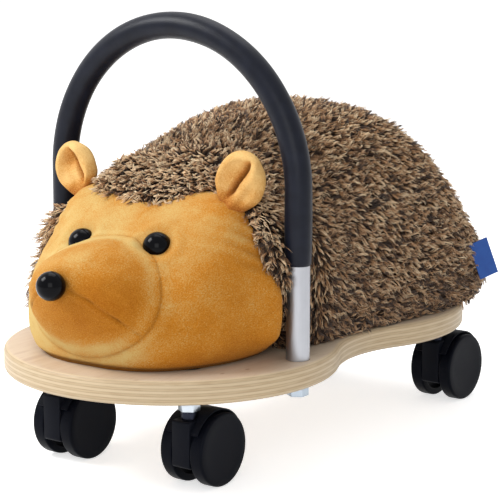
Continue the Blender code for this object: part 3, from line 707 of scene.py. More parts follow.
caster = {
    "trail": 0.018,
    "blockHalf": 0.00875,
    "blockFront": 0.0115,
    "blockFloor": 0.018,
    "blockTail": 0.010,
    "blockTop": 0.0565,
    "hoodInner": 0.03127,
    "hoodOuter": 0.03267,
    "hoodHalf": 0.0155,
    "hoodRear": 10.0,
    "hoodFront": 150.0,
    "socketRadius": 0.0071,
    "socketTop": 0.066,
    "pinHole": 0.0044,
    "pinRadius": 0.0040,
    "pinTip": 0.0034,
    "pinFloor": 0.0315,
    "neckRadius": 0.0067,
    "neckFloor": 0.0568,
    "neckTop": 0.0662,
    "collar": (0.0631, 0.0704),
    "axleHole": 0.0033,
    "axleReach": 0.013,
    "wheelRadius": 0.0300,
    "wheelInner": 0.00915,
    "wheelOuter": 0.02065,
    "rimRadius": 0.0240,
    "hubRadius": 0.0075,
    "hubHole": 0.0034,
    "dish": 0.0055,
    "hubDepth": 0.0084,
}
upright = Matrix(((0, 0, 1, 0), (1, 0, 0, 0), (0, 1, 0, 0), (0, 0, 0, 1)))  # stands a (y, z) outline up


def arcPoints(centre, radius, start, end, steps):
    points = []
    for step in range(steps + 1):
        angle = math.radians(start + (end - start) * step / steps)
        points.append((centre[0] + radius * math.cos(angle), centre[1] + radius * math.sin(angle)))
    return points


def plate(outline, thickness, bevel):
    # an outline of (y, z) points stood up, with its thickness along X
    shape = bmesh.new()
    ringOf(shape, [shape.verts.new((x, y, -thickness / 2)) for x, y in outline])
    slab(shape, thickness, bevel, 2, True)
    bmesh.ops.transform(shape, matrix=upright, verts=shape.verts)
    return meshOf(shape, "plate")


def housingMesh():
    axle = (caster["trail"], level["axle"])
    front, floor, top = -caster["blockFront"], caster["blockFloor"], caster["blockTop"]
    middle = (caster["hoodOuter"] + caster["hoodInner"]) / 2
    shoulder = 180 - math.degrees(math.asin((top - axle[1]) / middle))
    outline = arcPoints((front + 0.003, floor + 0.003), 0.003, 180, 270, 5)
    outline += arcPoints((caster["trail"] + caster["blockTail"] - 0.002, floor + 0.002), 0.002, 270, 360, 4)
    outline += arcPoints(axle, middle, caster["hoodRear"], shoulder, 40)
    outline += arcPoints((front + 0.002, top - 0.002), 0.002, 90, 180, 4)
    block = plate(outline, 2 * caster["blockHalf"], 0.0007)
    sector = arcPoints(axle, caster["hoodOuter"], caster["hoodRear"], caster["hoodFront"], 44)
    sector += reversed(arcPoints(axle, caster["hoodInner"], caster["hoodRear"], caster["hoodFront"], 44))
    hood = plate(sector, 2 * caster["hoodHalf"], 0.0004)
    wide, hole, bottom = caster["socketRadius"], caster["pinHole"], caster["pinFloor"] - 0.0004
    socket = spun(((0, caster["socketTop"]), (wide, caster["socketTop"]), (wide, top), (hole, top),
                   (hole, bottom), (0, bottom)), 36)
    across = Matrix.Translation((0.0, caster["trail"], level["axle"])) @ Matrix.Rotation(math.pi / 2, 4, "Y")
    bore = spun(pin(caster["axleHole"], -caster["axleReach"], caster["axleReach"]), 32, across)
    return combined(block, [("UNION", hood), ("DIFFERENCE", socket), ("DIFFERENCE", bore)])


def wheelMesh():
    # outer face towards +X, nearly flat, with a rounded shoulder and a dished inner face
    inner, outer, radius = caster["wheelInner"], caster["wheelOuter"], caster["wheelRadius"]
    rim, hub, hole = caster["rimRadius"], caster["hubRadius"], caster["hubHole"]
    profile = [
        (0.0, outer - 0.0006),
        (0.0120, outer - 0.0005),
        (0.0225, outer - 0.0001),
        (0.0236, outer),
        (radius, outer),
        (radius, inner),
        (rim, inner),
        (rim, inner + caster["dish"]),
        (hub, inner + caster["dish"]),
        (hub, inner),
        (hole, inner),
        (hole, inner + caster["hubDepth"]),
        (0.0, inner + caster["hubDepth"]),
    ]
    profile = softened(profile, {4: 0.0024, 5: 0.0014, 6: 0.0005, 7: 0.0008, 8: 0.0006, 9: 0.0005}, 6)
    return spun(profile, 72, Matrix.Rotation(math.pi / 2, 4, "Y"))


def moved(mesh, place):
    shape = bmesh.new()
    shape.from_mesh(mesh)
    bmesh.ops.transform(shape, matrix=place, verts=shape.verts)
    if place.is_negative:
        bmesh.ops.reverse_faces(shape, faces=shape.faces)
    return meshOf(shape, mesh.name)


def makeStem(corner):
    low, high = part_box("caster_stem_" + corner)
    x, y = middleOf("caster_stem_" + corner)
    place = Matrix.Translation((x, y, 0.0))
    thread, tip, tall = hardware["thread"], hardware["threadTip"], hardware["tipTall"]
    neck, neckFloor, neckTop = caster["neckRadius"], caster["neckFloor"], caster["neckTop"]
    core = drill(x, y, ((0, high.z), (tip, high.z), (thread, high.z - tall), (thread, neckTop + tall),
                        (neck, neckTop), (neck, neckFloor), (caster["pinRadius"], neckFloor),
                        (caster["pinRadius"], low.z + tall), (caster["pinTip"], low.z), (0, low.z)), 40)
    collar = hexPrism(*caster["collar"], place)
    piece("caster_stem_" + corner, combined(collar, [("UNION", core)]), stemSteel, 30)

    low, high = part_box("lock_nut_" + corner)
    hole = drill(x, y, pin(hardware["hole"], low.z - 0.002, high.z + 0.002))
    nut = combined(hexPrism(low.z, high.z, place), [("DIFFERENCE", hole)])
    piece("lock_nut_" + corner, nut, zinc, 30)
    makeWasher("caster_washer_" + corner, hardware["casterWasher"], place)


def makeCasters():
    housing = housingMesh()
    wheel = wheelMesh()
    mirror = Matrix.Diagonal((-1, 1, 1, 1))
    for corner in corners:
        x, y = middleOf("caster_stem_" + corner)
        hub = Matrix.Translation((x, y + caster["trail"], level["axle"]))
        piece("caster_housing_" + corner, moved(housing, Matrix.Translation((x, y, 0.0))), casterBlack,
              35, "caster_" + corner)
        for side, turn in (("left", Matrix.Identity(4)), ("right", mirror)):
            name = f"wheel_{side}_{corner}"
            piece(name, moved(wheel, hub @ turn), treadBlack, 32, name)
        makeStem(corner)


print("casters")
makeCasters()


# the plush shells: rings of points around the body and the head, joined and smoothed

bodyPlan = {
    "frontY": -0.1190,
    "length": 0.3690,
    "halfWidth": 0.1420,
    "height": 0.1830,
    "lean": 0.0570,
    "brow": 0.0240,
    # share of the length, of the half width, of the height and of the lean
    "rings": ((0, .74, .62, 1), (.03, .79, .71, 1), (.12, .815, .82, .85), (.24, .835, .93, .60),
              (.37, .87, 1.0, .35), (.50, .90, 1.02, .15), (.63, .93, .98, 0), (.75, .93, .77, 0),
              (.86, .87, .49, 0), (.95, .71, .37, 0), (1, .48, .28, 0)),
    # how far out, how far up, and how much of the brow
    "section": ((.50, 0, 0), (.91, 0, 0), (1.02, .12, 0), (1.03, .35, 0), (.95, .63, .10), (.72, .87, .22),
                (.38, .985, .60)),
}
headPlan = {
    "rearY": -0.0660,
    "length": 0.1360,
    "halfWidth": 0.1140,
    "height": 0.1310,
    "rings": ((0, .93, .97), (.21, .96, 1.0), (.43, .96, .95), (.63, .87, .80), (.80, .74, .63),
              (.93, .56, .48), (1, .30, .32)),
    "section": ((.45, 0), (.82, 0), (1.0, .14), (1.01, .42), (.94, .72), (.74, .94), (.40, 1.01)),
}
fit = {"inside": 0.002, "reach": 0.03, "evening": 12}


def wholeRing(half, footY, crownY, high):
    # from the foot up one side, over the crown and down the other
    foot, crown = (0.0, footY, level["seat"]), (0.0, crownY, level["seat"] + high)
    return [foot] + half + [crown] + [(-x, y, z) for x, y, z in reversed(half)]


def bodyRings():
    plan = bodyPlan
    rings = []
    for along, wide, tall, lean in plan["rings"]:
        high = plan["height"] * tall
        footY = plan["frontY"] + plan["lean"] + (plan["length"] - plan["lean"]) * along
        half = [(plan["halfWidth"] * wide * out, footY - lean * (plan["lean"] * up + plan["brow"] * peak),
                 level["seat"] + high * up) for out, up, peak in plan["section"]]
        rings.append(wholeRing(half, footY, footY - lean * (plan["lean"] + plan["brow"]), high))
    return rings


def headRings():
    plan = headPlan
    rings = []
    for along, wide, tall in plan["rings"]:
        high, y = plan["height"] * tall, plan["rearY"] - plan["length"] * along
        half = [(plan["halfWidth"] * wide * out, y, level["seat"] + high * up) for out, up in plan["section"]]
        rings.append(wholeRing(half, y, y, high))
    return rings


def lofted(rings, levels):
    shape = bmesh.new()
    crease = shape.edges.layers.float.new("crease_edge")
    bridged(shape, [ringOf(shape, [shape.verts.new(place) for place in ring]) for ring in rings])
    for edge in shape.edges:
        onSeat = all(abs(vert.co.z - level["seat"]) < 1e-5 for vert in edge.verts)
        inner = all(abs(face.normal.z) > 0.99 for face in edge.link_faces)
        if onSeat and not inner:
            edge[crease] = 1.0
    return evaluated(meshOf(shape, "loft"), [("SUBSURF", {"levels": levels, "render_levels": levels})])


def fitted(rings, levels):
    # a smooth skin pushed out to the coarser cage that the solid has
    mesh = lofted(rings, levels)
    tree = treeOf(lofted(rings, 1))
    points, normals = coordsOf(mesh), normalsOf(mesh)
    push = np.zeros(len(points))
    for index, (point, normal) in enumerate(zip(points, normals)):
        hit = tree.ray_cast(Vector(point) - Vector(normal) * fit["inside"], Vector(normal), fit["reach"])
        push[index] = hit[3] - fit["inside"] if hit[0] is not None else 0.0
    edges = np.empty(len(mesh.edges) * 2, np.int32)
    mesh.edges.foreach_get("vertices", edges)
    edges = edges.reshape(-1, 2)
    count = np.bincount(edges.ravel(), minlength=len(push))
    for turn in range(fit["evening"]):
        total = np.bincount(edges[:, 0], push[edges[:, 1]], len(push))
        total += np.bincount(edges[:, 1], push[edges[:, 0]], len(push))
        push = 0.5 * push + 0.5 * total / np.maximum(count, 1)
    points = points + normals * np.maximum(push, 0.0)[:, None]
    points[:, 2] = np.maximum(points[:, 2], level["seat"])
    setCoords(mesh, points)
    return mesh


def coordsOf(mesh):
    places = np.empty(len(mesh.vertices) * 3)
    mesh.vertices.foreach_get("co", places)
    return places.reshape(-1, 3)


def setCoords(mesh, points):
    mesh.vertices.foreach_set("co", points.ravel())
    mesh.update()


def normalsOf(mesh):
    return np.array([tuple(vert.normal) for vert in mesh.vertices])


def treeOf(mesh):
    shape = bmesh.new()
    shape.from_mesh(mesh)
    tree = BVHTree.FromBMesh(shape)
    shape.free()
    return tree


def lumps(points, scale, seed):
    # smooth noise from -1 to 1 at each point
    shift = Vector((seed, seed * 1.7, seed * 0.6))
    return np.array([noise.noise(Vector(point) * scale + shift) for point in points])


def nearLine(points, line):
    # distance from each point to a line of points in millimetres, and how far along it lies, 0 to 1
    line = np.array(line) / 1000.0
    best = np.full(len(points), 1e9)
    share = np.zeros(len(points))
    for index in range(len(line) - 1):
        first, step = line[index], line[index + 1] - line[index]
        along = np.clip(((points - first) @ step) / (step @ step), 0, 1)
        away = np.linalg.norm(points - first - along[:, None] * step, axis=1)
        nearer = away < best
        best[nearer] = away[nearer]
        share[nearer] = (index + along[nearer]) / (len(line) - 1)
    return best, share


def rising(value, low, high):
    # 0 below low and 1 above high, with a smooth rise between them
    share = np.clip((value - low) / (high - low), 0, 1)
    return share * share * (3 - 2 * share)


def bell(value, width):
    return np.exp(-((value / width) ** 2))


def around(points, middle, width=1.0, reach=1.0):
    # a bell of the distance from a middle, with a reach for each axis where it isn't round
    return bell(np.linalg.norm((points - middle) / reach, axis=1), width)


def paint(mesh, name, red, green, blue=0.0):
    layer = mesh.attributes.new(name, "FLOAT_COLOR", "POINT")
    colours = np.ones((len(mesh.vertices), 4), np.float32)
    colours[:, 0], colours[:, 1], colours[:, 2] = red, green, blue
    layer.data.foreach_set("color", colours.ravel())


# the face

face = {
    "snoutCentre": (0.0, -0.1760, 0.1487),
    "snoutSizes": (0.0640, 0.0555, 0.0490),
    "tipRise": 0.0200,
    "farDrop": 0.0070,
    "grid": 0.0012,
    "smoothing": 14,
    "lumps": ((28.0, 2.0, 0.0009), (75.0, 5.0, 0.00045)),  # scale, seed and height
    "join": ((0.0020, 0.0050), (-0.0007, 0.0013)),  # height and width, where snout and head meet
    "eye": (0.0390, -0.1579, 0.1915),
    "farEye": (-0.0360, -0.1600, 0.1868),
    "eyeRadius": 0.0117,
    "nose": (0.0, -0.2398, 0.1687),
    "noseRadius": 0.0116,
    # hollow's depth and width, brim's height, ring's painted shade, radius and width
    "sockets": {
        "eye": (0.0030, 0.0125, 0.0014, 0.40, 0.0105, 0.0022),
        "farEye": (0.0030, 0.0125, 0.0014, 0.40, 0.0105, 0.0022),
        "nose": (0.0016, 0.0110, 0.0, 0.35, 0.0112, 0.0020),
    },
    "brim": (0.0200, 0.0050),
    # seams on both sides: points in millimetres, then width, depth and painted shade in the seam
    "seams": (
        (((6, -231, 166), (25, -226, 158), (44, -214, 143), (55, -193, 127)), 0.0015, 0.0013, 0.60),
        (((36.5, -167, 181), (35, -172, 174), (33, -177, 166)), 0.0018, 0.0010, 0.26),
        (((46, -150, 195), (62, -138, 197), (78, -127, 195), (90, -116, 188)), 0.0034, 0.0012, 0.10),
        (((86, -128, 186), (90, -124, 168), (90, -128, 150)), 0.0040, 0.0011, 0.08),
    ),
    "seamEnds": (0.10, 0.84),  # shares of its length where a seam is full
    "seamLip": (0.35, 2.0),  # height of the lip beside a seam and its distance, by depth and width
    "seamDark": 0.66,
    # soft gathers by the ears, on both sides
    "gather": (0.086, 0.112, 0.188),
    "gatherWidth": 0.022,
    "folds": (520, 0.0013, 0.09),  # how close together, how high, and how much they shade
    "earRise": 0.0055,
    "earFoot": ((0.070, -0.112, 0.222), (0.024, 0.024, 0.030)),  # middle and reach, on both sides
    "farTrim": 0.0045,
    "farTrimAt": (-0.086, -0.150, 0.190),
    "farTrimWidth": 0.024,
    "plainTall": 0.012,  # height over the board in which seams, folds and lumps fade out
    # the cheeks' swell and the tuck behind them: how far, then where along X, Y and Z they begin and end
    "swell": 0.0120,
    "swellOut": (0.055, 0.085),
    "swellMiddle": (-0.107, 0.013),
    "swellRear": (-0.099, -0.093),
    "swellLow": (0.099, 0.122),
    "swellHigh": (0.150, 0.184),
    "tuck": 0.0090,
    "tuckRear": (-0.100, -0.090),
    "tuckHigh": (0.160, 0.185),
    "hem": 0.0045,
    "hemTall": 0.0075,
    # patches of tone: middle, reach and strength; the second is painted light on the low chin under the
    # snout, the third painted light on the far side's lower cheek
    "tones": (
        ((0.016, -0.222, 0.150), (0.042, 0.040, 0.026), -0.22),
        ((0.025, -0.205, 0.110), (0.040, 0.035, 0.014), 0.34),
        ((-0.055, -0.170, 0.125), (0.045, 0.045, 0.050), 0.38),
        ((-0.035, -0.140, 0.203), (0.070, 0.050, 0.028), 0.08),
    ),
    "tone": 0.60,
    # painted light: the skin is lighter where it faces up and towards the far side, where the key light
    # falls, darker where it faces the near side
    "slopeLight": 0.10,  # more where the skin faces up, less where it faces the near side
    "snoutTone": -0.07,
    "snoutEdge": (1.02, 1.16),  # in shares of its size
    "rimTone": 0.24,
    "rimAt": (0.007, 0.005),
    "lowTone": -0.17,
    "lowFrom": (0.125, 0.028),
    "toneLumps": (45.0, 9.0, 0.10),
    # painted shade where snout and head meet, on the far side and more on the near one, and a painted shadow
    # line over the board
    "joinShade": (0.12, 0.34, 0.0012),
    "underShadow": (0.85, 0.0022, 0.0052),
}


def earZone(points):
    # where the face comes up to the foot of the ears, and the fur gives way
    middle, reach = face["earFoot"]
    sided = np.stack((np.abs(points[:, 0]), points[:, 1], points[:, 2]), axis=1)
    return np.exp(-((((sided - middle) / reach) ** 2).sum(1)))


def snoutMesh():
    shape = bmesh.new()
    bmesh.ops.create_uvsphere(shape, u_segments=72, v_segments=56, radius=1.0)
    wide, long, tall = face["snoutSizes"]
    for vert in shape.verts:
        x, y, z = vert.co
        lift = face["tipRise"] * max(-y, 0.0) ** 3
        lift -= face["farDrop"] * max(0.19 - x, 0.0) * max(z, 0.0)  # the upper half sinks to the far side
        vert.co = (x * wide, y * long, z * tall + lift)
    bmesh.ops.translate(shape, vec=face["snoutCentre"], verts=shape.verts)
    return meshOf(shape, "snout")


def fusedFace(head, snout):
    shape = bmesh.new()
    shape.from_mesh(head)
    shape.from_mesh(snout)
    mesh = evaluated(meshOf(shape, "face"), [("REMESH", {"mode": "VOXEL", "voxel_size": face["grid"]})])
    shape = bmesh.new()
    shape.from_mesh(mesh)
    for turn in range(face["smoothing"]):
        bmesh.ops.smooth_vert(shape, verts=shape.verts, factor=0.5, use_axis_x=True, use_axis_y=True,
                              use_axis_z=True)
    bmesh.ops.recalc_face_normals(shape, faces=shape.faces)
    return meshOf(shape, "face")


def makeFace():
    head = fitted(headRings(), 3)
    snout = snoutMesh()
    mesh = fusedFace(head, snout)
    points, normals = coordsOf(mesh), normalsOf(mesh)
    # the crease where snout and head meet, by how far each point is from the two skins
    skins = (treeOf(snout), treeOf(head))
    crease = np.array([max(skin.find_nearest(Vector(point))[3] for skin in skins) for point in points])
    push = sum(lumps(points, scale, seed) * height for scale, seed, height in face["lumps"])
    (rise, riseWidth), (dip, dipWidth) = face["join"]
    push += rise * bell(crease, riseWidth) + dip * bell(crease, dipWidth)
    # painted shade, kept for the green channel: in the seams, round the eyes and nose, where snout and head
    # meet and over the board
    dark = np.zeros(len(points))
    (full, fading), (lip, beside) = face["seamEnds"], face["seamLip"]
    for line, width, depth, shade in face["seams"]:
        for sided in (points, points * np.array((-1, 1, 1))):
            away, share = nearLine(sided, line)
            fade = rising(share, 0.0, full) * (1 - rising(share, fading, 1.0))
            push -= depth * bell(away, width) * fade
            push += depth * lip * bell(away - width * beside, width) * fade
            dark = np.maximum(dark, shade * bell(away, width * face["seamDark"]) * fade)
    brimAt, brimWidth = face["brim"]
    for key, (depth, width, brim, shade, ringAt, ringWidth) in face["sockets"].items():
        away = np.linalg.norm(points - face[key], axis=1)
        push -= depth * bell(away, width)
        push += brim * bell(away - brimAt, brimWidth)
        dark = np.maximum(dark, shade * bell(away - ringAt, ringWidth))
    closeness, foldHeight, foldShade = face["folds"]
    gather = around(np.abs(points), face["gather"], face["gatherWidth"])
    folds = gather * np.sin((points[:, 2] + points[:, 1] * 0.5) * closeness)
    push += folds * foldHeight
    push += face["earRise"] * earZone(points)
    push -= face["farTrim"] * around(points, face["farTrimAt"], face["farTrimWidth"])
    push *= 1 - rising(level["seat"] + face["plainTall"] - points[:, 2], 0.0, face["plainTall"])
    points = points + normals * push[:, None]
    # cheeks that swell before the handle's legs, and give way to the fur behind
    height = points[:, 2]
    outward = np.sign(points[:, 0]) * rising(np.abs(points[:, 0]), *face["swellOut"])
    middle, width = face["swellMiddle"]
    swell = bell(points[:, 1] - middle, width) * (1 - rising(points[:, 1], *face["swellRear"]))
    swell *= rising(height, *face["swellLow"]) * (1 - rising(height, *face["swellHigh"]))
    tuck = rising(points[:, 1], *face["tuckRear"]) * rising(height, *face["tuckHigh"])
    points[:, 0] += outward * (face["swell"] * swell - face["tuck"] * tuck)
    # the lower edge rolls under, which leaves a dark line over the board
    hem = face["hem"] * (1 - rising(height, level["seat"], level["seat"] + face["hemTall"])) ** 2
    points[:, :2] -= normals[:, :2] * hem[:, None]
    setCoords(mesh, points)

    nearSide = rising(points[:, 0], -0.02, 0.03)
    # painted shade where snout and head meet, and a painted shadow over the board
    far, near, width = face["joinShade"]
    dark = np.maximum(dark, (far + near * nearSide) * bell(crease, width))
    shade, low, high = face["underShadow"]
    dark = np.maximum(dark, shade * (1 - rising(points[:, 2], level["seat"] + low, level["seat"] + high)))
    inSnout = np.linalg.norm((points - np.array(face["snoutCentre"])) / np.array(face["snoutSizes"]), axis=1)
    onSnout = 1 - rising(inSnout, *face["snoutEdge"])
    # painted light by which way the skin faces
    tone = face["tone"] + face["slopeLight"] * (normals[:, 2] - normals[:, 0])
    rimAt, rimWidth = face["rimAt"]
    tone += (face["snoutTone"] + face["rimTone"] * bell(crease - rimAt, rimWidth)) * onSnout
    # the patches of tone, two of them painted light
    for middle, reach, strength in face["tones"]:
        tone += strength * around(points, middle, reach=reach)
    lowTop, lowTall = face["lowFrom"]
    tone += face["lowTone"] * rising(lowTop - points[:, 2], 0.0, lowTall) * nearSide
    scale, seed, most = face["toneLumps"]
    tone += lumps(points, scale, seed) * most + folds * foldShade
    paint(mesh, "faceShade", np.clip(tone, 0, 1), np.clip(dark, 0, 1))
    nodes = ["head_plush", "snout_plush"]
    piece("face", mesh, facePlush, 180, stands=nodes)
    return treeOf(mesh)


def makeFeatures():
    for name, key, radius in (("nose", "nose", "noseRadius"), ("eye_left", "eye", "eyeRadius"),
                              ("eye_right", "farEye", "eyeRadius")):
        shape = bmesh.new()
        bmesh.ops.create_icosphere(shape, subdivisions=5, radius=face[radius])
        bmesh.ops.translate(shape, vec=face[key], verts=shape.verts)
        piece(name, meshOf(shape, name), gloss, 180)


print("face")
faceTree = makeFace()
makeFeatures()


# the ears

ears = {
    # tilts in degrees; the fold, its slant and the hollow in shares of the half sizes
    "left": {
        "at": (0.0803, -0.1010, 0.2390), "sizes": (0.0218, 0.0095, 0.0270), "splay": 20.0, "turn": 7.0,
        "fold": -0.06, "slant": 0.36, "hollow": (0.10, 0.30), "sink": 0.0006, "pale": 0.0,
    },
    "right": {
        "at": (-0.0885, -0.1010, 0.2350), "sizes": (0.0205, 0.0090, 0.0240), "splay": -20.0, "turn": 2.0,
        "fold": 0.22, "slant": -0.22, "hollow": (-0.16, 0.42), "sink": 0.0050, "pale": 0.10,
    },
    "cup": 0.0050,
    "rim": 0.0018,
    "rimAt": (0.80, 0.18),
    "valley": 0.0085,
    "crease": 0.095,
    "creaseLow": (-0.62, -0.25),
    "creaseHigh": (0.55, 0.86),
    "slope": 0.0024,
    "slopeWidth": 0.42,
    "roll": 0.0036,
    "rollAt": (0.40, 0.26),
    "hollowWidths": (0.32, 0.36),
    "narrowing": 0.30,
    "lumps": 0.0005,
    "tone": 0.72,
    "topTone": 0.10,
    "footTone": -0.50,
    # painted shade in the fold's crease and in the hollow, in the tone and the green channel
    "creaseShade": -0.45,
    "hollowShade": -70.0,  # by metre of its depth
    "lumpTone": 0.06,
    "creaseDark": 0.70,
}


def makeEar(side):
    plan = ears[side]
    shape = bmesh.new()
    bmesh.ops.create_uvsphere(shape, u_segments=96, v_segments=72, radius=1.0)
    mesh = meshOf(shape, "ear")
    x, y, z = coordsOf(mesh).T
    front = rising(-y, -0.05, 0.40)
    away = x - plan["fold"] - plan["slant"] * z
    reach = rising(z, *ears["creaseLow"]) * (1 - rising(z, *ears["creaseHigh"])) * front
    valley = bell(away, ears["crease"]) * reach
    (rimAt, rimWidth), (rollAt, rollWidth) = ears["rimAt"], ears["rollAt"]
    forward = ears["rim"] * bell(np.hypot(x, z) - rimAt, rimWidth) * front
    forward -= ears["valley"] * valley + ears["slope"] * bell(away, ears["slopeWidth"]) * reach
    forward += ears["roll"] * bell(away - rollAt, rollWidth) * front * (1 - rising(z, 0.60, 1.0))
    (hollowX, hollowZ), (acrossWidth, upWidth) = plan["hollow"], ears["hollowWidths"]
    hollow = bell(x - hollowX, acrossWidth) * bell(z - hollowZ, upWidth) * front
    forward -= plan["sink"] * hollow
    wide, deep, tall = plan["sizes"]
    local = np.stack((x * wide * (1 - ears["narrowing"] * rising(-z, 0.15, 1.0)),
                      y * deep - ears["cup"] * (x**2 + z**2) - forward, z * tall), axis=1)
    local += lumps(local, 90.0, 3.0 + plan["fold"])[:, None] * ears["lumps"]
    turn = Matrix.Translation(plan["at"]) @ Matrix.Rotation(math.radians(plan["turn"]), 4, "Z")
    matrix = np.array(turn @ Matrix.Rotation(math.radians(plan["splay"]), 4, "Y"))
    setCoords(mesh, local @ matrix[:3, :3].T + matrix[:3, 3])
    tone = ears["tone"] + ears["topTone"] * rising(z, 0.0, 0.9) + ears["footTone"] * rising(-z, 0.20, 0.75)
    # painted shade in the crease and in the hollow
    tone += ears["creaseShade"] * valley + plan["pale"] + ears["hollowShade"] * plan["sink"] * hollow
    tone += lumps(local, 120.0, 8.0) * ears["lumpTone"]
    paint(mesh, "earShade", np.clip(tone, 0, 1), np.clip(valley**3 * ears["creaseDark"], 0, 1))
    piece("ear_" + side, mesh, earPlush, 180)
    return Vector(plan["at"]), treeOf(mesh)


print("ears")
earTrees = [makeEar("left"), makeEar("right")]


# the fur

fur = {
    "depth": 0.0048,
    "strands": 96000,
    "quickStrands": 40000,
    "clumps": 26000,
    "cell": 0.86,  # a cell's side, by that of the room that each strand has
    "rings": 3,
    "long": 0.0132,
    # the near side's ruff: how full and how far forward, then its middle, width, foot, top and side
    "nearRuff": 0.0140,
    "nearForward": 0.012,
    "nearMiddle": -0.086,
    "nearWidth": 0.018,
    "nearFoot": (0.105, 0.135),
    "nearTop": (0.222, 0.245),
    "nearOut": (0.050, 0.070),
    # the far side's ruff: its width and side, then heights, how much wider there, and how far forward
    "farWidth": 0.026,
    "farOut": (0.020, 0.050),
    "farHeights": (0.090, 0.100, 0.113, 0.125, 0.140, 0.163, 0.190, 0.205, 0.220, 0.238),
    "farWider": (0.0, 0.30, 0.37, 0.35, 0.32, 0.27, 0.34, 0.37, 0.30, 0.0),
    "farForward": (0.0, 0.054, 0.055, 0.045, 0.033, 0.020, 0.016, 0.012, 0.008, 0.0),
    # where the fur's front edge runs, by height
    "frontHeights": (0.100, 0.138, 0.170, 0.197, 0.220),
    "frontY": (-0.069, -0.082, -0.100, -0.115, -0.120),
    "earDip": 0.0080,
    "farBrow": 0.0110,
    "farBrowAt": (-0.047, -0.092, 0.234),
    "farBrowWidth": 0.023,
    "legRoom": 0.0128,
    # ranges for the clumps' lift, length and wave
    "lift": (0.30, 1.00),
    "clumpLong": (0.65, 1.20),
    "clumpWave": (0.4, 1.0),
    "twist": 0.30,
    "ownLong": (0.80, 1.12),
    "ownThick": (0.75, 1.35),
    "thick": 0.00036,
    "taper": ((0.0, 0.3, 0.7, 1.0), (0.85, 1.0, 0.80, 0.0)),  # share of the length, share of the thickness
    "flatness": 0.75,
    # how much higher it stands on top, in the ruffs and over the brow, and how its length changes
    "crownFront": (0.02, 0.10),
    "crownUp": (0.185, 0.225),
    "topFrom": (0.20, 0.27),
    "liftTop": 0.30,
    "liftRuff": 0.35,
    "liftCrown": 0.25,
    "liftFoot": 0.5,
    "footTall": (0.002, 0.020),
    "besideFace": 0.010,
    "longNear": 0.10,
    "longRuff": 0.20,
    "longCrown": 0.15,
    "bend": 0.42,
    "arch": 0.50,
    "pull": 0.74,  # how far a tip is drawn to its clump's
    "wave": 0.0022,
    "waveTurns": 5.2,
    "droop": 0.10,
    "jitter": 0.00035,
    "strays": ((0.40, 20.0, 0.0), (0.38, 70.0, 11.0)),  # how much the lie wanders, scale and seed
    # how far outside the face and the handle a root may stand, and a strand after it
    "faceRoot": -0.0015,
    "faceStrand": -0.0004,
    "legRoot": 0.0015,
    "legStrand": 0.0006,
    "earStrand": 0.0006,
    "overBoard": 0.0008,
    "boardEdge": 0.001,
    # how far from an ear or the face a strand is looked at
    "earReach": 0.045,
    "faceReach": 0.012,
    # tone: at the root's end, by clump, by strand, and more or less of it in some places
    "toneLow": 0.30,
    "toneClump": 1.14,
    "toneStrand": 0.30,
    "toneCrown": 0.40,
    "toneRuff": 0.42,
    "toneShaded": 0.30,
    "shadedTall": 0.060,
    "tipPower": 0.80,
    "strandTone": (0.5, 0.20),
    "patches": (30.0, 21.0, 0.25),  # scale, seed and the least of it
    "perPiece": 12000,
}
# how much the fur goes out, back and up in each zone, and where the zones begin and end
lie = {
    "sides": (0.20, 0.85, -0.14),
    "brow": (0.30, -1.0, -0.55),
    "browFront": (0.045, 0.095),
    "browUp": (0.175, 0.215),
    "cheek": (0.35, -0.75, -0.55),
    "cheekFront": (0.015, 0.055),
    "cheekTop": (0.180, 0.215),
    "rear": (0.35, 0.50, -0.40),
    "rearBack": (0.170, 0.235),
}


def nearRuffAt(points):
    # fuller fur behind the face on the near side
    high = rising(points[:, 2], *fur["nearFoot"]) * (1 - rising(points[:, 2], *fur["nearTop"]))
    middle = bell(points[:, 1] - fur["nearMiddle"], fur["nearWidth"])
    return middle * high * rising(points[:, 0], *fur["nearOut"])


def farRuffAt(points):
    # fur that stands out past the face on the far side
    front = np.interp(points[:, 2], fur["frontHeights"], fur["frontY"])
    return bell(points[:, 1] - front, fur["farWidth"]) * rising(-points[:, 0], *fur["farOut"])


def legGap(x, y):
    # how far places are from the middle of the nearer leg of the handle
    left, right = (np.hypot(x - sign * handle["halfSpan"], y - handle["y"]) for sign in (1, -1))
    return np.minimum(left, right)


def makeSkin():
    mesh = fitted(bodyRings(), 4)
    points, normals = coordsOf(mesh), normalsOf(mesh)
    flatFoot = rising(points[:, 2], level["seat"] + 0.0005, level["seat"] + 0.010)
    push = -fur["depth"] * (0.25 + 0.75 * flatFoot)
    push += fur["nearRuff"] * nearRuffAt(points) - fur["earDip"] * earZone(points)
    push += fur["farBrow"] * around(points, fur["farBrowAt"], fur["farBrowWidth"])
    far = farRuffAt(points)
    points = points + normals * push[:, None]
    wider = np.interp(points[:, 2], fur["farHeights"], fur["farWider"], 0.0, 0.0)
    forward = np.interp(points[:, 2], fur["farHeights"], fur["farForward"], 0.0, 0.0)
    points[:, 0] *= 1 + wider * far
    points[:, 1] -= forward * far + fur["nearForward"] * nearRuffAt(points)
    # pressed in beside the handle's legs
    for sign in (-1, 1):
        besideLeg = np.abs(points[:, 1] - handle["y"])
        hold = np.sqrt(np.maximum(fur["legRoom"] ** 2 - besideLeg**2, 0.0))
        limit = handle["halfSpan"] - hold
        pressed = (hold > 0) & (points[:, 0] * sign > limit) & (points[:, 2] > level["seat"] + 0.001)
        points[pressed, 0] = sign * limit[pressed]
    points[:, 2] = np.maximum(points[:, 2], level["seat"] + 0.0004)
    setCoords(mesh, points)
    piece("fur_backing", mesh, skinBrown, 180, stands=["body_plush"])
    return mesh


def facesOf(shape):
    # vertex numbers of each triangle
    bmesh.ops.triangulate(shape, faces=shape.faces)
    shape.verts.index_update()
    return np.array([[vert.index for vert in face.verts] for face in shape.faces])


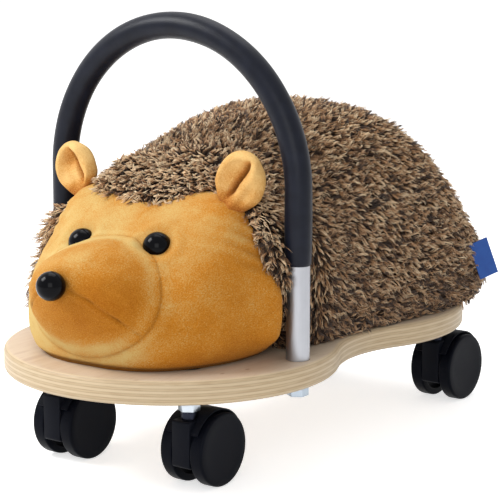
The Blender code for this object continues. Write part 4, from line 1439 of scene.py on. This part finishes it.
def scattered(mesh, count):
    # places spread over the faces by area, thinned so that none crowd, with their normals
    shape = bmesh.new()
    shape.from_mesh(mesh)
    faces = facesOf(shape)
    verts = np.array([tuple(vert.co) for vert in shape.verts])
    normals = np.array([tuple(vert.normal) for vert in shape.verts])
    shape.free()
    first, second, third = (verts[faces[:, corner]] for corner in range(3))
    area = np.linalg.norm(np.cross(second - first, third - first), axis=1) / 2
    tries = rng.choice(len(faces), size=count * 4, p=area / area.sum())
    along, across = rng.random(count * 4), rng.random(count * 4)
    flip = along + across > 1
    along[flip], across[flip] = 1 - along[flip], 1 - across[flip]
    weights = np.stack((1 - along - across, along, across), axis=1)
    places = (verts[faces[tries]] * weights[:, :, None]).sum(1)
    ways = (normals[faces[tries]] * weights[:, :, None]).sum(1)
    ways /= np.linalg.norm(ways, axis=1)[:, None]
    # one place is kept in each cell of a grid, whose three numbers are mixed into one
    cell = math.sqrt(area.sum() / count) * fur["cell"]
    keys = np.floor(places / cell).astype(np.int64)
    order = rng.permutation(len(places))
    flatKeys = keys[:, 0] * 73856093 ^ keys[:, 1] * 19349663 ^ keys[:, 2] * 83492791
    chosen = order[np.unique(flatKeys[order], return_index=True)[1]]
    rng.shuffle(chosen)
    return places[chosen], ways[chosen]


def flowAt(points, normals):
    # which way the fur lies: back on the sides, forward over the brow and cheeks, down at the rear
    sided = np.ones_like(points)
    sided[:, 0] = np.sign(points[:, 0] + 1e-9)
    height = points[:, 2]
    shares = {
        "brow": rising(-points[:, 1], *lie["browFront"]) * rising(height, *lie["browUp"]),
        "cheek": rising(-points[:, 1], *lie["cheekFront"]) * (1 - rising(height, *lie["cheekTop"])),
        "rear": rising(points[:, 1], *lie["rearBack"]),
    }
    flow = sided * lie["sides"]
    for key, share in shares.items():
        flow = flow * (1 - share[:, None]) + sided * lie[key] * share[:, None]
    for axis, start in enumerate((1.0, 4.0, 7.0)):
        flow[:, axis] += sum(most * lumps(points, scale, start + seed) for most, scale, seed in fur["strays"])
    flow -= normals * (flow * normals).sum(1)[:, None]
    return flow / np.linalg.norm(flow, axis=1)[:, None]


def baseStrand():
    # one three-sided strand: how far up and which way round each vertex is, and the faces
    shape = bmesh.new()
    bmesh.ops.create_cone(shape, cap_ends=True, segments=3, radius1=1.0, radius2=0.0, depth=1.0,
                          matrix=Matrix.Translation((0, 0, 0.5)))
    for ring in range(1, fur["rings"]):
        bmesh.ops.bisect_plane(shape, geom=shape.verts[:] + shape.edges[:] + shape.faces[:],
                               plane_co=(0, 0, ring / fur["rings"]), plane_no=(0, 0, 1))
    bmesh.ops.triangulate(shape, faces=shape.faces)
    bmesh.ops.recalc_face_normals(shape, faces=shape.faces)
    faces = facesOf(shape)
    share = np.array([vert.co.z for vert in shape.verts])
    angle = np.array([math.atan2(vert.co.y, vert.co.x) for vert in shape.verts])
    shape.free()
    return share, angle, faces


def strandMap(share, angle, faces):
    # each face's corners laid out in a unit cell, for a map with one cell to a strand
    turns = (angle / (2 * math.pi)) % 1.0
    cells = np.zeros((len(faces), 3, 2))
    for index, corner in enumerate(faces):
        across = turns[corner].copy()
        if across.max() - across.min() > 0.5:
            across[across < 0.5] += 1.0
        pointed = share[corner] > 0.999
        if pointed.any():
            across[pointed] = across[~pointed].mean()
        if share[corner].max() < 0.001:
            cells[index] = ((0.02, 0.0), (0.98, 0.0), (0.5, 0.10))
        else:
            cells[index, :, 0] = 0.03 + 0.70 * across
            cells[index, :, 1] = 0.14 + 0.84 * share[corner]
    return cells


def signedGap(tree, point):
    hit = tree.find_nearest(Vector(point))
    return (Vector(point) - hit[0]).dot(hit[1])


def unit(vectors):
    return vectors / (np.linalg.norm(vectors, axis=2)[:, :, None] + 1e-12)


def furMesh(number, verts, colours, share, faces, cells):
    amount = len(verts)
    mesh = bpy.data.meshes.new(f"fur {number}")
    mesh.vertices.add(amount * len(share))
    mesh.vertices.foreach_set("co", verts.ravel())
    mesh.loops.add(amount * len(faces) * 3)
    mesh.polygons.add(amount * len(faces))
    index = (np.arange(amount)[:, None, None] * len(share) + faces[None]).astype(np.int32)
    mesh.loops.foreach_set("vertex_index", index.ravel())
    mesh.polygons.foreach_set("loop_start", np.arange(amount * len(faces), dtype=np.int32) * 3)
    mesh.update(calc_edges=True)
    mesh.validate()
    paint(mesh, "furShade", *colours)
    grid = math.ceil(math.sqrt(amount))
    row, column = np.divmod(np.arange(amount), grid)
    corner = np.stack((column, row), axis=1)[:, None, None, :]
    flat = (corner + 0.06 + 0.88 * cells[None]) / grid
    mesh.uv_layers.new(name="OFBake").data.foreach_set("uv", flat.astype(np.float32).ravel())
    return mesh


def makeFur(skin):
    count = fur["strands"]
    places, normals = scattered(skin, count)
    gap = np.array([signedGap(faceTree, place) for place in places])
    keep = (places[:, 2] > level["seat"] + 0.0022) & (gap > fur["faceRoot"])
    keep &= legGap(places[:, 0], places[:, 1]) > handle["tubeRadius"] + fur["legRoot"]
    places, normals, gap = places[keep], normals[keep], gap[keep]
    total = len(places)
    flow = flowAt(places, normals)

    # strands share the way and the tip of their clump
    heads = rng.choice(total, size=int(fur["clumps"] * total / fur["strands"]), replace=False)
    tree = KDTree(len(heads))
    for index, head in enumerate(heads):
        tree.insert(places[head], index)
    tree.balance()
    owner = np.array([tree.find(place)[1] for place in places])
    ownerPlace, ownerFlow, ownerNormal = places[heads][owner], flow[heads][owner], normals[heads][owner]
    crown = rising(-places[:, 1], *fur["crownFront"]) * rising(places[:, 2], *fur["crownUp"])
    headTwist = rng.normal(0, fur["twist"], len(heads))[owner] * (1 + 2.0 * crown)
    headLift = rng.uniform(*fur["lift"], len(heads))[owner]
    headLong = rng.uniform(*fur["clumpLong"], len(heads))[owner]
    headPhase = rng.uniform(0, 2 * math.pi, len(heads))[owner]
    headWave = rng.uniform(*fur["clumpWave"], len(heads))[owner]
    headTone = rng.random(len(heads))[owner]

    side = np.cross(ownerNormal, ownerFlow)
    way = ownerFlow * np.cos(headTwist)[:, None] + side * np.sin(headTwist)[:, None]
    side = np.cross(ownerNormal, way)
    top = rising(places[:, 2], *fur["topFrom"])
    ruff = np.maximum(nearRuffAt(places), farRuffAt(places) * (places[:, 2] < 0.235))
    lift = headLift + fur["liftTop"] * top + fur["liftRuff"] * ruff + fur["liftCrown"] * crown
    near = bell(gap, fur["besideFace"])  # a little shorter beside the face
    length = fur["long"] * headLong * rng.uniform(*fur["ownLong"], total) * (1 - fur["longNear"] * near)
    length *= 1 + fur["longRuff"] * ruff
    length *= 1 - fur["longCrown"] * crown
    low, high = fur["footTall"]
    lowFoot = 1 - rising(places[:, 2], level["boardTop"] + low, level["boardTop"] + high)
    lift = lift * (1 - fur["liftFoot"] * lowFoot)

    share, angle, faces = baseStrand()
    levels = np.unique(np.round(share, 4))
    rings = np.searchsorted(levels, np.round(share, 4))
    wide = rng.uniform(*fur["ownThick"], total) * fur["thick"]
    wave = fur["wave"] * headWave * (1 + 0.5 * crown)
    centre = np.zeros((total, len(levels), 3))
    for index, along in enumerate(levels):
        bend = along * (1 - fur["bend"] * along * lift)
        rise = lift * length * along * (1 - fur["arch"] * along)
        own = normals * rise[:, None] + way * (length * bend)[:, None]
        swing = np.sin(headPhase + along * fur["waveTurns"]) - np.sin(headPhase)
        own += side * (wave * swing)[:, None] * min(1.0, along * 2)
        own[:, 2] -= length * fur["droop"] * along * along
        gather = (ownerPlace - places) * (fur["pull"] * along**0.8)
        centre[:, index] = places + own + gather
    centre += rng.normal(0, fur["jitter"], (total, 1, 3)) * levels[None, :, None]

    # strands that would run into the handle, an ear or the face are left out
    legClear = legGap(centre[:, :, 0], centre[:, :, 1]) > handle["gripRadius"] + fur["legStrand"]
    free = legClear.all(1)
    for at, earTree in earTrees:
        for index in np.flatnonzero(np.linalg.norm(places - np.array(at), axis=1) < fur["earReach"]):
            free[index] &= not any(signedGap(earTree, point) < fur["earStrand"] for point in centre[index])
    for index in np.flatnonzero(gap < fur["faceReach"]):
        free[index] &= signedGap(faceTree, centre[index, 1]) > fur["faceStrand"]
    over = insideBoard(centre.reshape(-1, 3), fur["boardEdge"]).reshape(total, -1)
    floor = level["boardTop"] + fur["overBoard"]
    centre[:, :, 2] = np.where(over, np.maximum(centre[:, :, 2], floor), centre[:, :, 2])

    tangent = unit(np.gradient(centre, axis=1))
    across = unit(np.cross(tangent, normals[:, None, :]))
    outward = np.cross(across, tangent)
    thickness = np.interp(levels, *fur["taper"])
    verts = np.zeros((total, len(share), 3), np.float32)
    for corner, ring in enumerate(rings):
        reach = wide * thickness[ring]
        verts[:, corner] = (centre[:, ring]
                            + across[:, ring] * (reach * math.cos(angle[corner]))[:, None]
                            + outward[:, ring] * (reach * fur["flatness"] * math.sin(angle[corner]))[:, None])

    # colour: dark at the root, light at the tip, by clump and by strand; the dark root is partly the fur's
    # own colour and partly painted shade between the strands
    tips = levels[rings][None, :] ** fur["tipPower"]
    strandTone = np.clip(rng.normal(*fur["strandTone"], total), 0, 1)
    red = tips * (fur["toneLow"] + fur["toneClump"] * headTone)[:, None]
    red = np.clip(red + fur["toneStrand"] * (strandTone - 0.5)[:, None], 0, 1)
    shaded = 1 - rising(places[:, 2], level["seat"], level["seat"] + fur["shadedTall"])
    brighter = 1 + fur["toneCrown"] * crown + fur["toneRuff"] * ruff - fur["toneShaded"] * shaded
    red = np.clip(red * brighter[:, None], 0, 1)
    green = np.clip(0.5 * headTone + 0.5 * strandTone, 0, 1)
    scale, seed, least = fur["patches"]
    blue = np.clip(least + (1 - least) * (0.5 + 0.5 * lumps(places, scale, seed)), 0, 1)

    print("strands", free.sum())
    verts, red, green, blue = verts[free], red[free], green[free], blue[free]
    cells = strandMap(share, angle, faces)
    for number, start in enumerate(range(0, len(verts), fur["perPiece"]), 1):
        part = slice(start, start + fur["perPiece"])
        colours = (red[part].ravel(), np.repeat(green[part], len(share)), np.repeat(blue[part], len(share)))
        mesh = furMesh(number, verts[part], colours, share, faces, cells)
        piece(f"fur_{number}", mesh, furBrown, 180, stands=())


print("fur")
makeFur(makeSkin())


# the tag

tag = {
    "place": (0.1372, 0.1796, 0.1410),
    "width": 0.0180,
    "tall": 0.0330,
    "turn": 52.0,
    "lean": -19.0,
    "gap": 0.0009,
    "thick": 0.0003,
    "leafSteps": 6,
    "tallSteps": 10,
    "bow": (0.0010, 90, 0.0006, 200),  # height and closeness of its waves, up and along
}


def makeTag():
    # a strip folded at its outer edge, with both ends in the fur
    shape = bmesh.new()
    half, reach, steps = tag["gap"] / 2, tag["width"] / 2, tag["leafSteps"]
    leaf = [-reach + (2 * reach - half) * step / steps for step in range(steps + 1)]
    bends = (1.05, 0.5, 0.0, -0.5, -1.05)
    profile = [(x, half) for x in leaf]
    profile += [(reach - half + half * math.cos(bend), half * math.sin(bend)) for bend in bends]
    profile += [(x, -half) for x in reversed(leaf)]
    verts = [shape.verts.new((x, y, -tag["tall"] / 2)) for x, y in profile]
    edges = [shape.edges.new(pair) for pair in zip(verts, verts[1:])]
    for step in range(tag["tallSteps"]):
        lifted = bmesh.ops.extrude_edge_only(shape, edges=edges)["geom"]
        edges = [item for item in lifted if isinstance(item, bmesh.types.BMEdge)]
        bmesh.ops.translate(shape, vec=(0, 0, tag["tall"] / tag["tallSteps"]), verts=vertsIn(lifted))
    bmesh.ops.recalc_face_normals(shape, faces=shape.faces)
    up, upTurns, along, alongTurns = tag["bow"]
    for vert in shape.verts:
        vert.co.y += up * math.sin(vert.co.z * upTurns) + along * math.sin(vert.co.x * alongTurns)
    turn = Matrix.Translation(tag["place"]) @ Matrix.Rotation(math.radians(tag["turn"]), 4, "Z")
    turn = turn @ Matrix.Rotation(math.radians(tag["lean"]), 4, "Y")
    bmesh.ops.transform(shape, matrix=turn, verts=shape.verts)
    mesh = evaluated(meshOf(shape, "tag"), [("SOLIDIFY", {"thickness": tag["thick"], "offset": 0.0})])
    obj = piece("side_tag", mesh, tape, 50)


print("tag")
makeTag()


# stage, lights and camera

stage = {
    "floor": grey(0.85),
    "floorSize": 6.0,
    "floorGlow": (0.0, 0.62),  # what the object gets, and what is seen
    "worldGlow": (0.58, 1.0),
    "aim": (0.0, 0.0, 0.15),
    # name, place, size and watts
    "lights": (
        ("key", (-1.05, -0.95, 1.45), 0.75, 28.0),
        ("fill", (1.2, -1.9, 0.9), 1.2, 12.0),
        ("top", (-0.3, 0.5, 1.9), 1.2, 10.0),
    ),
}
view = {
    "place": (1.0878, -1.4634, 0.5058),
    "azimuth": 36.455,
    "elevation": 10.550,
    "lens": 156.5,
    "sensor": 36.0,
    "shift": (0.0121, -0.0134),
}


def seenWhite(tree, low, high):
    # one value for light that the object gets, another for what is seen, mirrored or looked through
    path = tree.nodes.new("ShaderNodeLightPath")
    seen = path.outputs["Is Camera Ray"]
    for kind in ("Is Glossy Ray", "Is Transmission Ray"):
        either = tree.nodes.new("ShaderNodeMath")
        either.operation = "MAXIMUM"
        tree.links.new(seen, either.inputs[0])
        tree.links.new(path.outputs[kind], either.inputs[1])
        seen = either.outputs[0]
    strength = tree.nodes.new("ShaderNodeMapRange")
    tree.links.new(seen, strength.inputs["Value"])
    strength.inputs["To Min"].default_value = low
    strength.inputs["To Max"].default_value = high
    return strength.outputs["Result"]


def makeFloor():
    shape = bmesh.new()
    bmesh.ops.create_grid(shape, x_segments=1, y_segments=1, size=stage["floorSize"])
    mesh = meshOf(shape, "floor")
    floor = bpy.data.objects.new("floor", mesh)
    collection.objects.link(floor)
    finish = Tree("floor white")
    finish.shade(Base_Color=stage["floor"], Roughness=0.9, Specular_IOR_Level=0.1, Emission_Color=grey(1.0),
                 Emission_Strength=seenWhite(finish.tree, *stage["floorGlow"]))
    mesh.materials.append(finish.material)
    floor.location = (0.0, 0.0, -0.0002)


def makeLights():
    world = bpy.data.worlds.new("surround")
    bpy.context.scene.world = world
    world.use_nodes = True
    tree = world.node_tree
    background = tree.nodes["Background"]
    tree.links.new(seenWhite(tree, *stage["worldGlow"]), background.inputs["Strength"])
    background.inputs["Color"].default_value = grey(1.0)
    for name, place, size, power in stage["lights"]:
        lamp = bpy.data.lights.new(name, "AREA")
        lamp.size = size
        lamp.energy = power
        obj = bpy.data.objects.new(name, lamp)
        obj.location = place
        obj.rotation_mode = "QUATERNION"
        obj.rotation_quaternion = (Vector(stage["aim"]) - Vector(place)).to_track_quat("-Z", "Y")
        collection.objects.link(obj)


def makeCamera():
    data = bpy.data.cameras.new("camera")
    data.lens, data.sensor_width = view["lens"], view["sensor"]
    data.shift_x, data.shift_y = view["shift"]
    camera = bpy.data.objects.new("camera", data)
    camera.location = view["place"]
    camera.rotation_euler = (math.radians(90 - view["elevation"]), 0.0, math.radians(view["azimuth"]))
    collection.objects.link(camera)
    bpy.context.scene.camera = camera


print("stage")
makeFloor()
makeLights()
makeCamera()
bpy.context.scene.view_settings.view_transform = "Standard"

print("done")
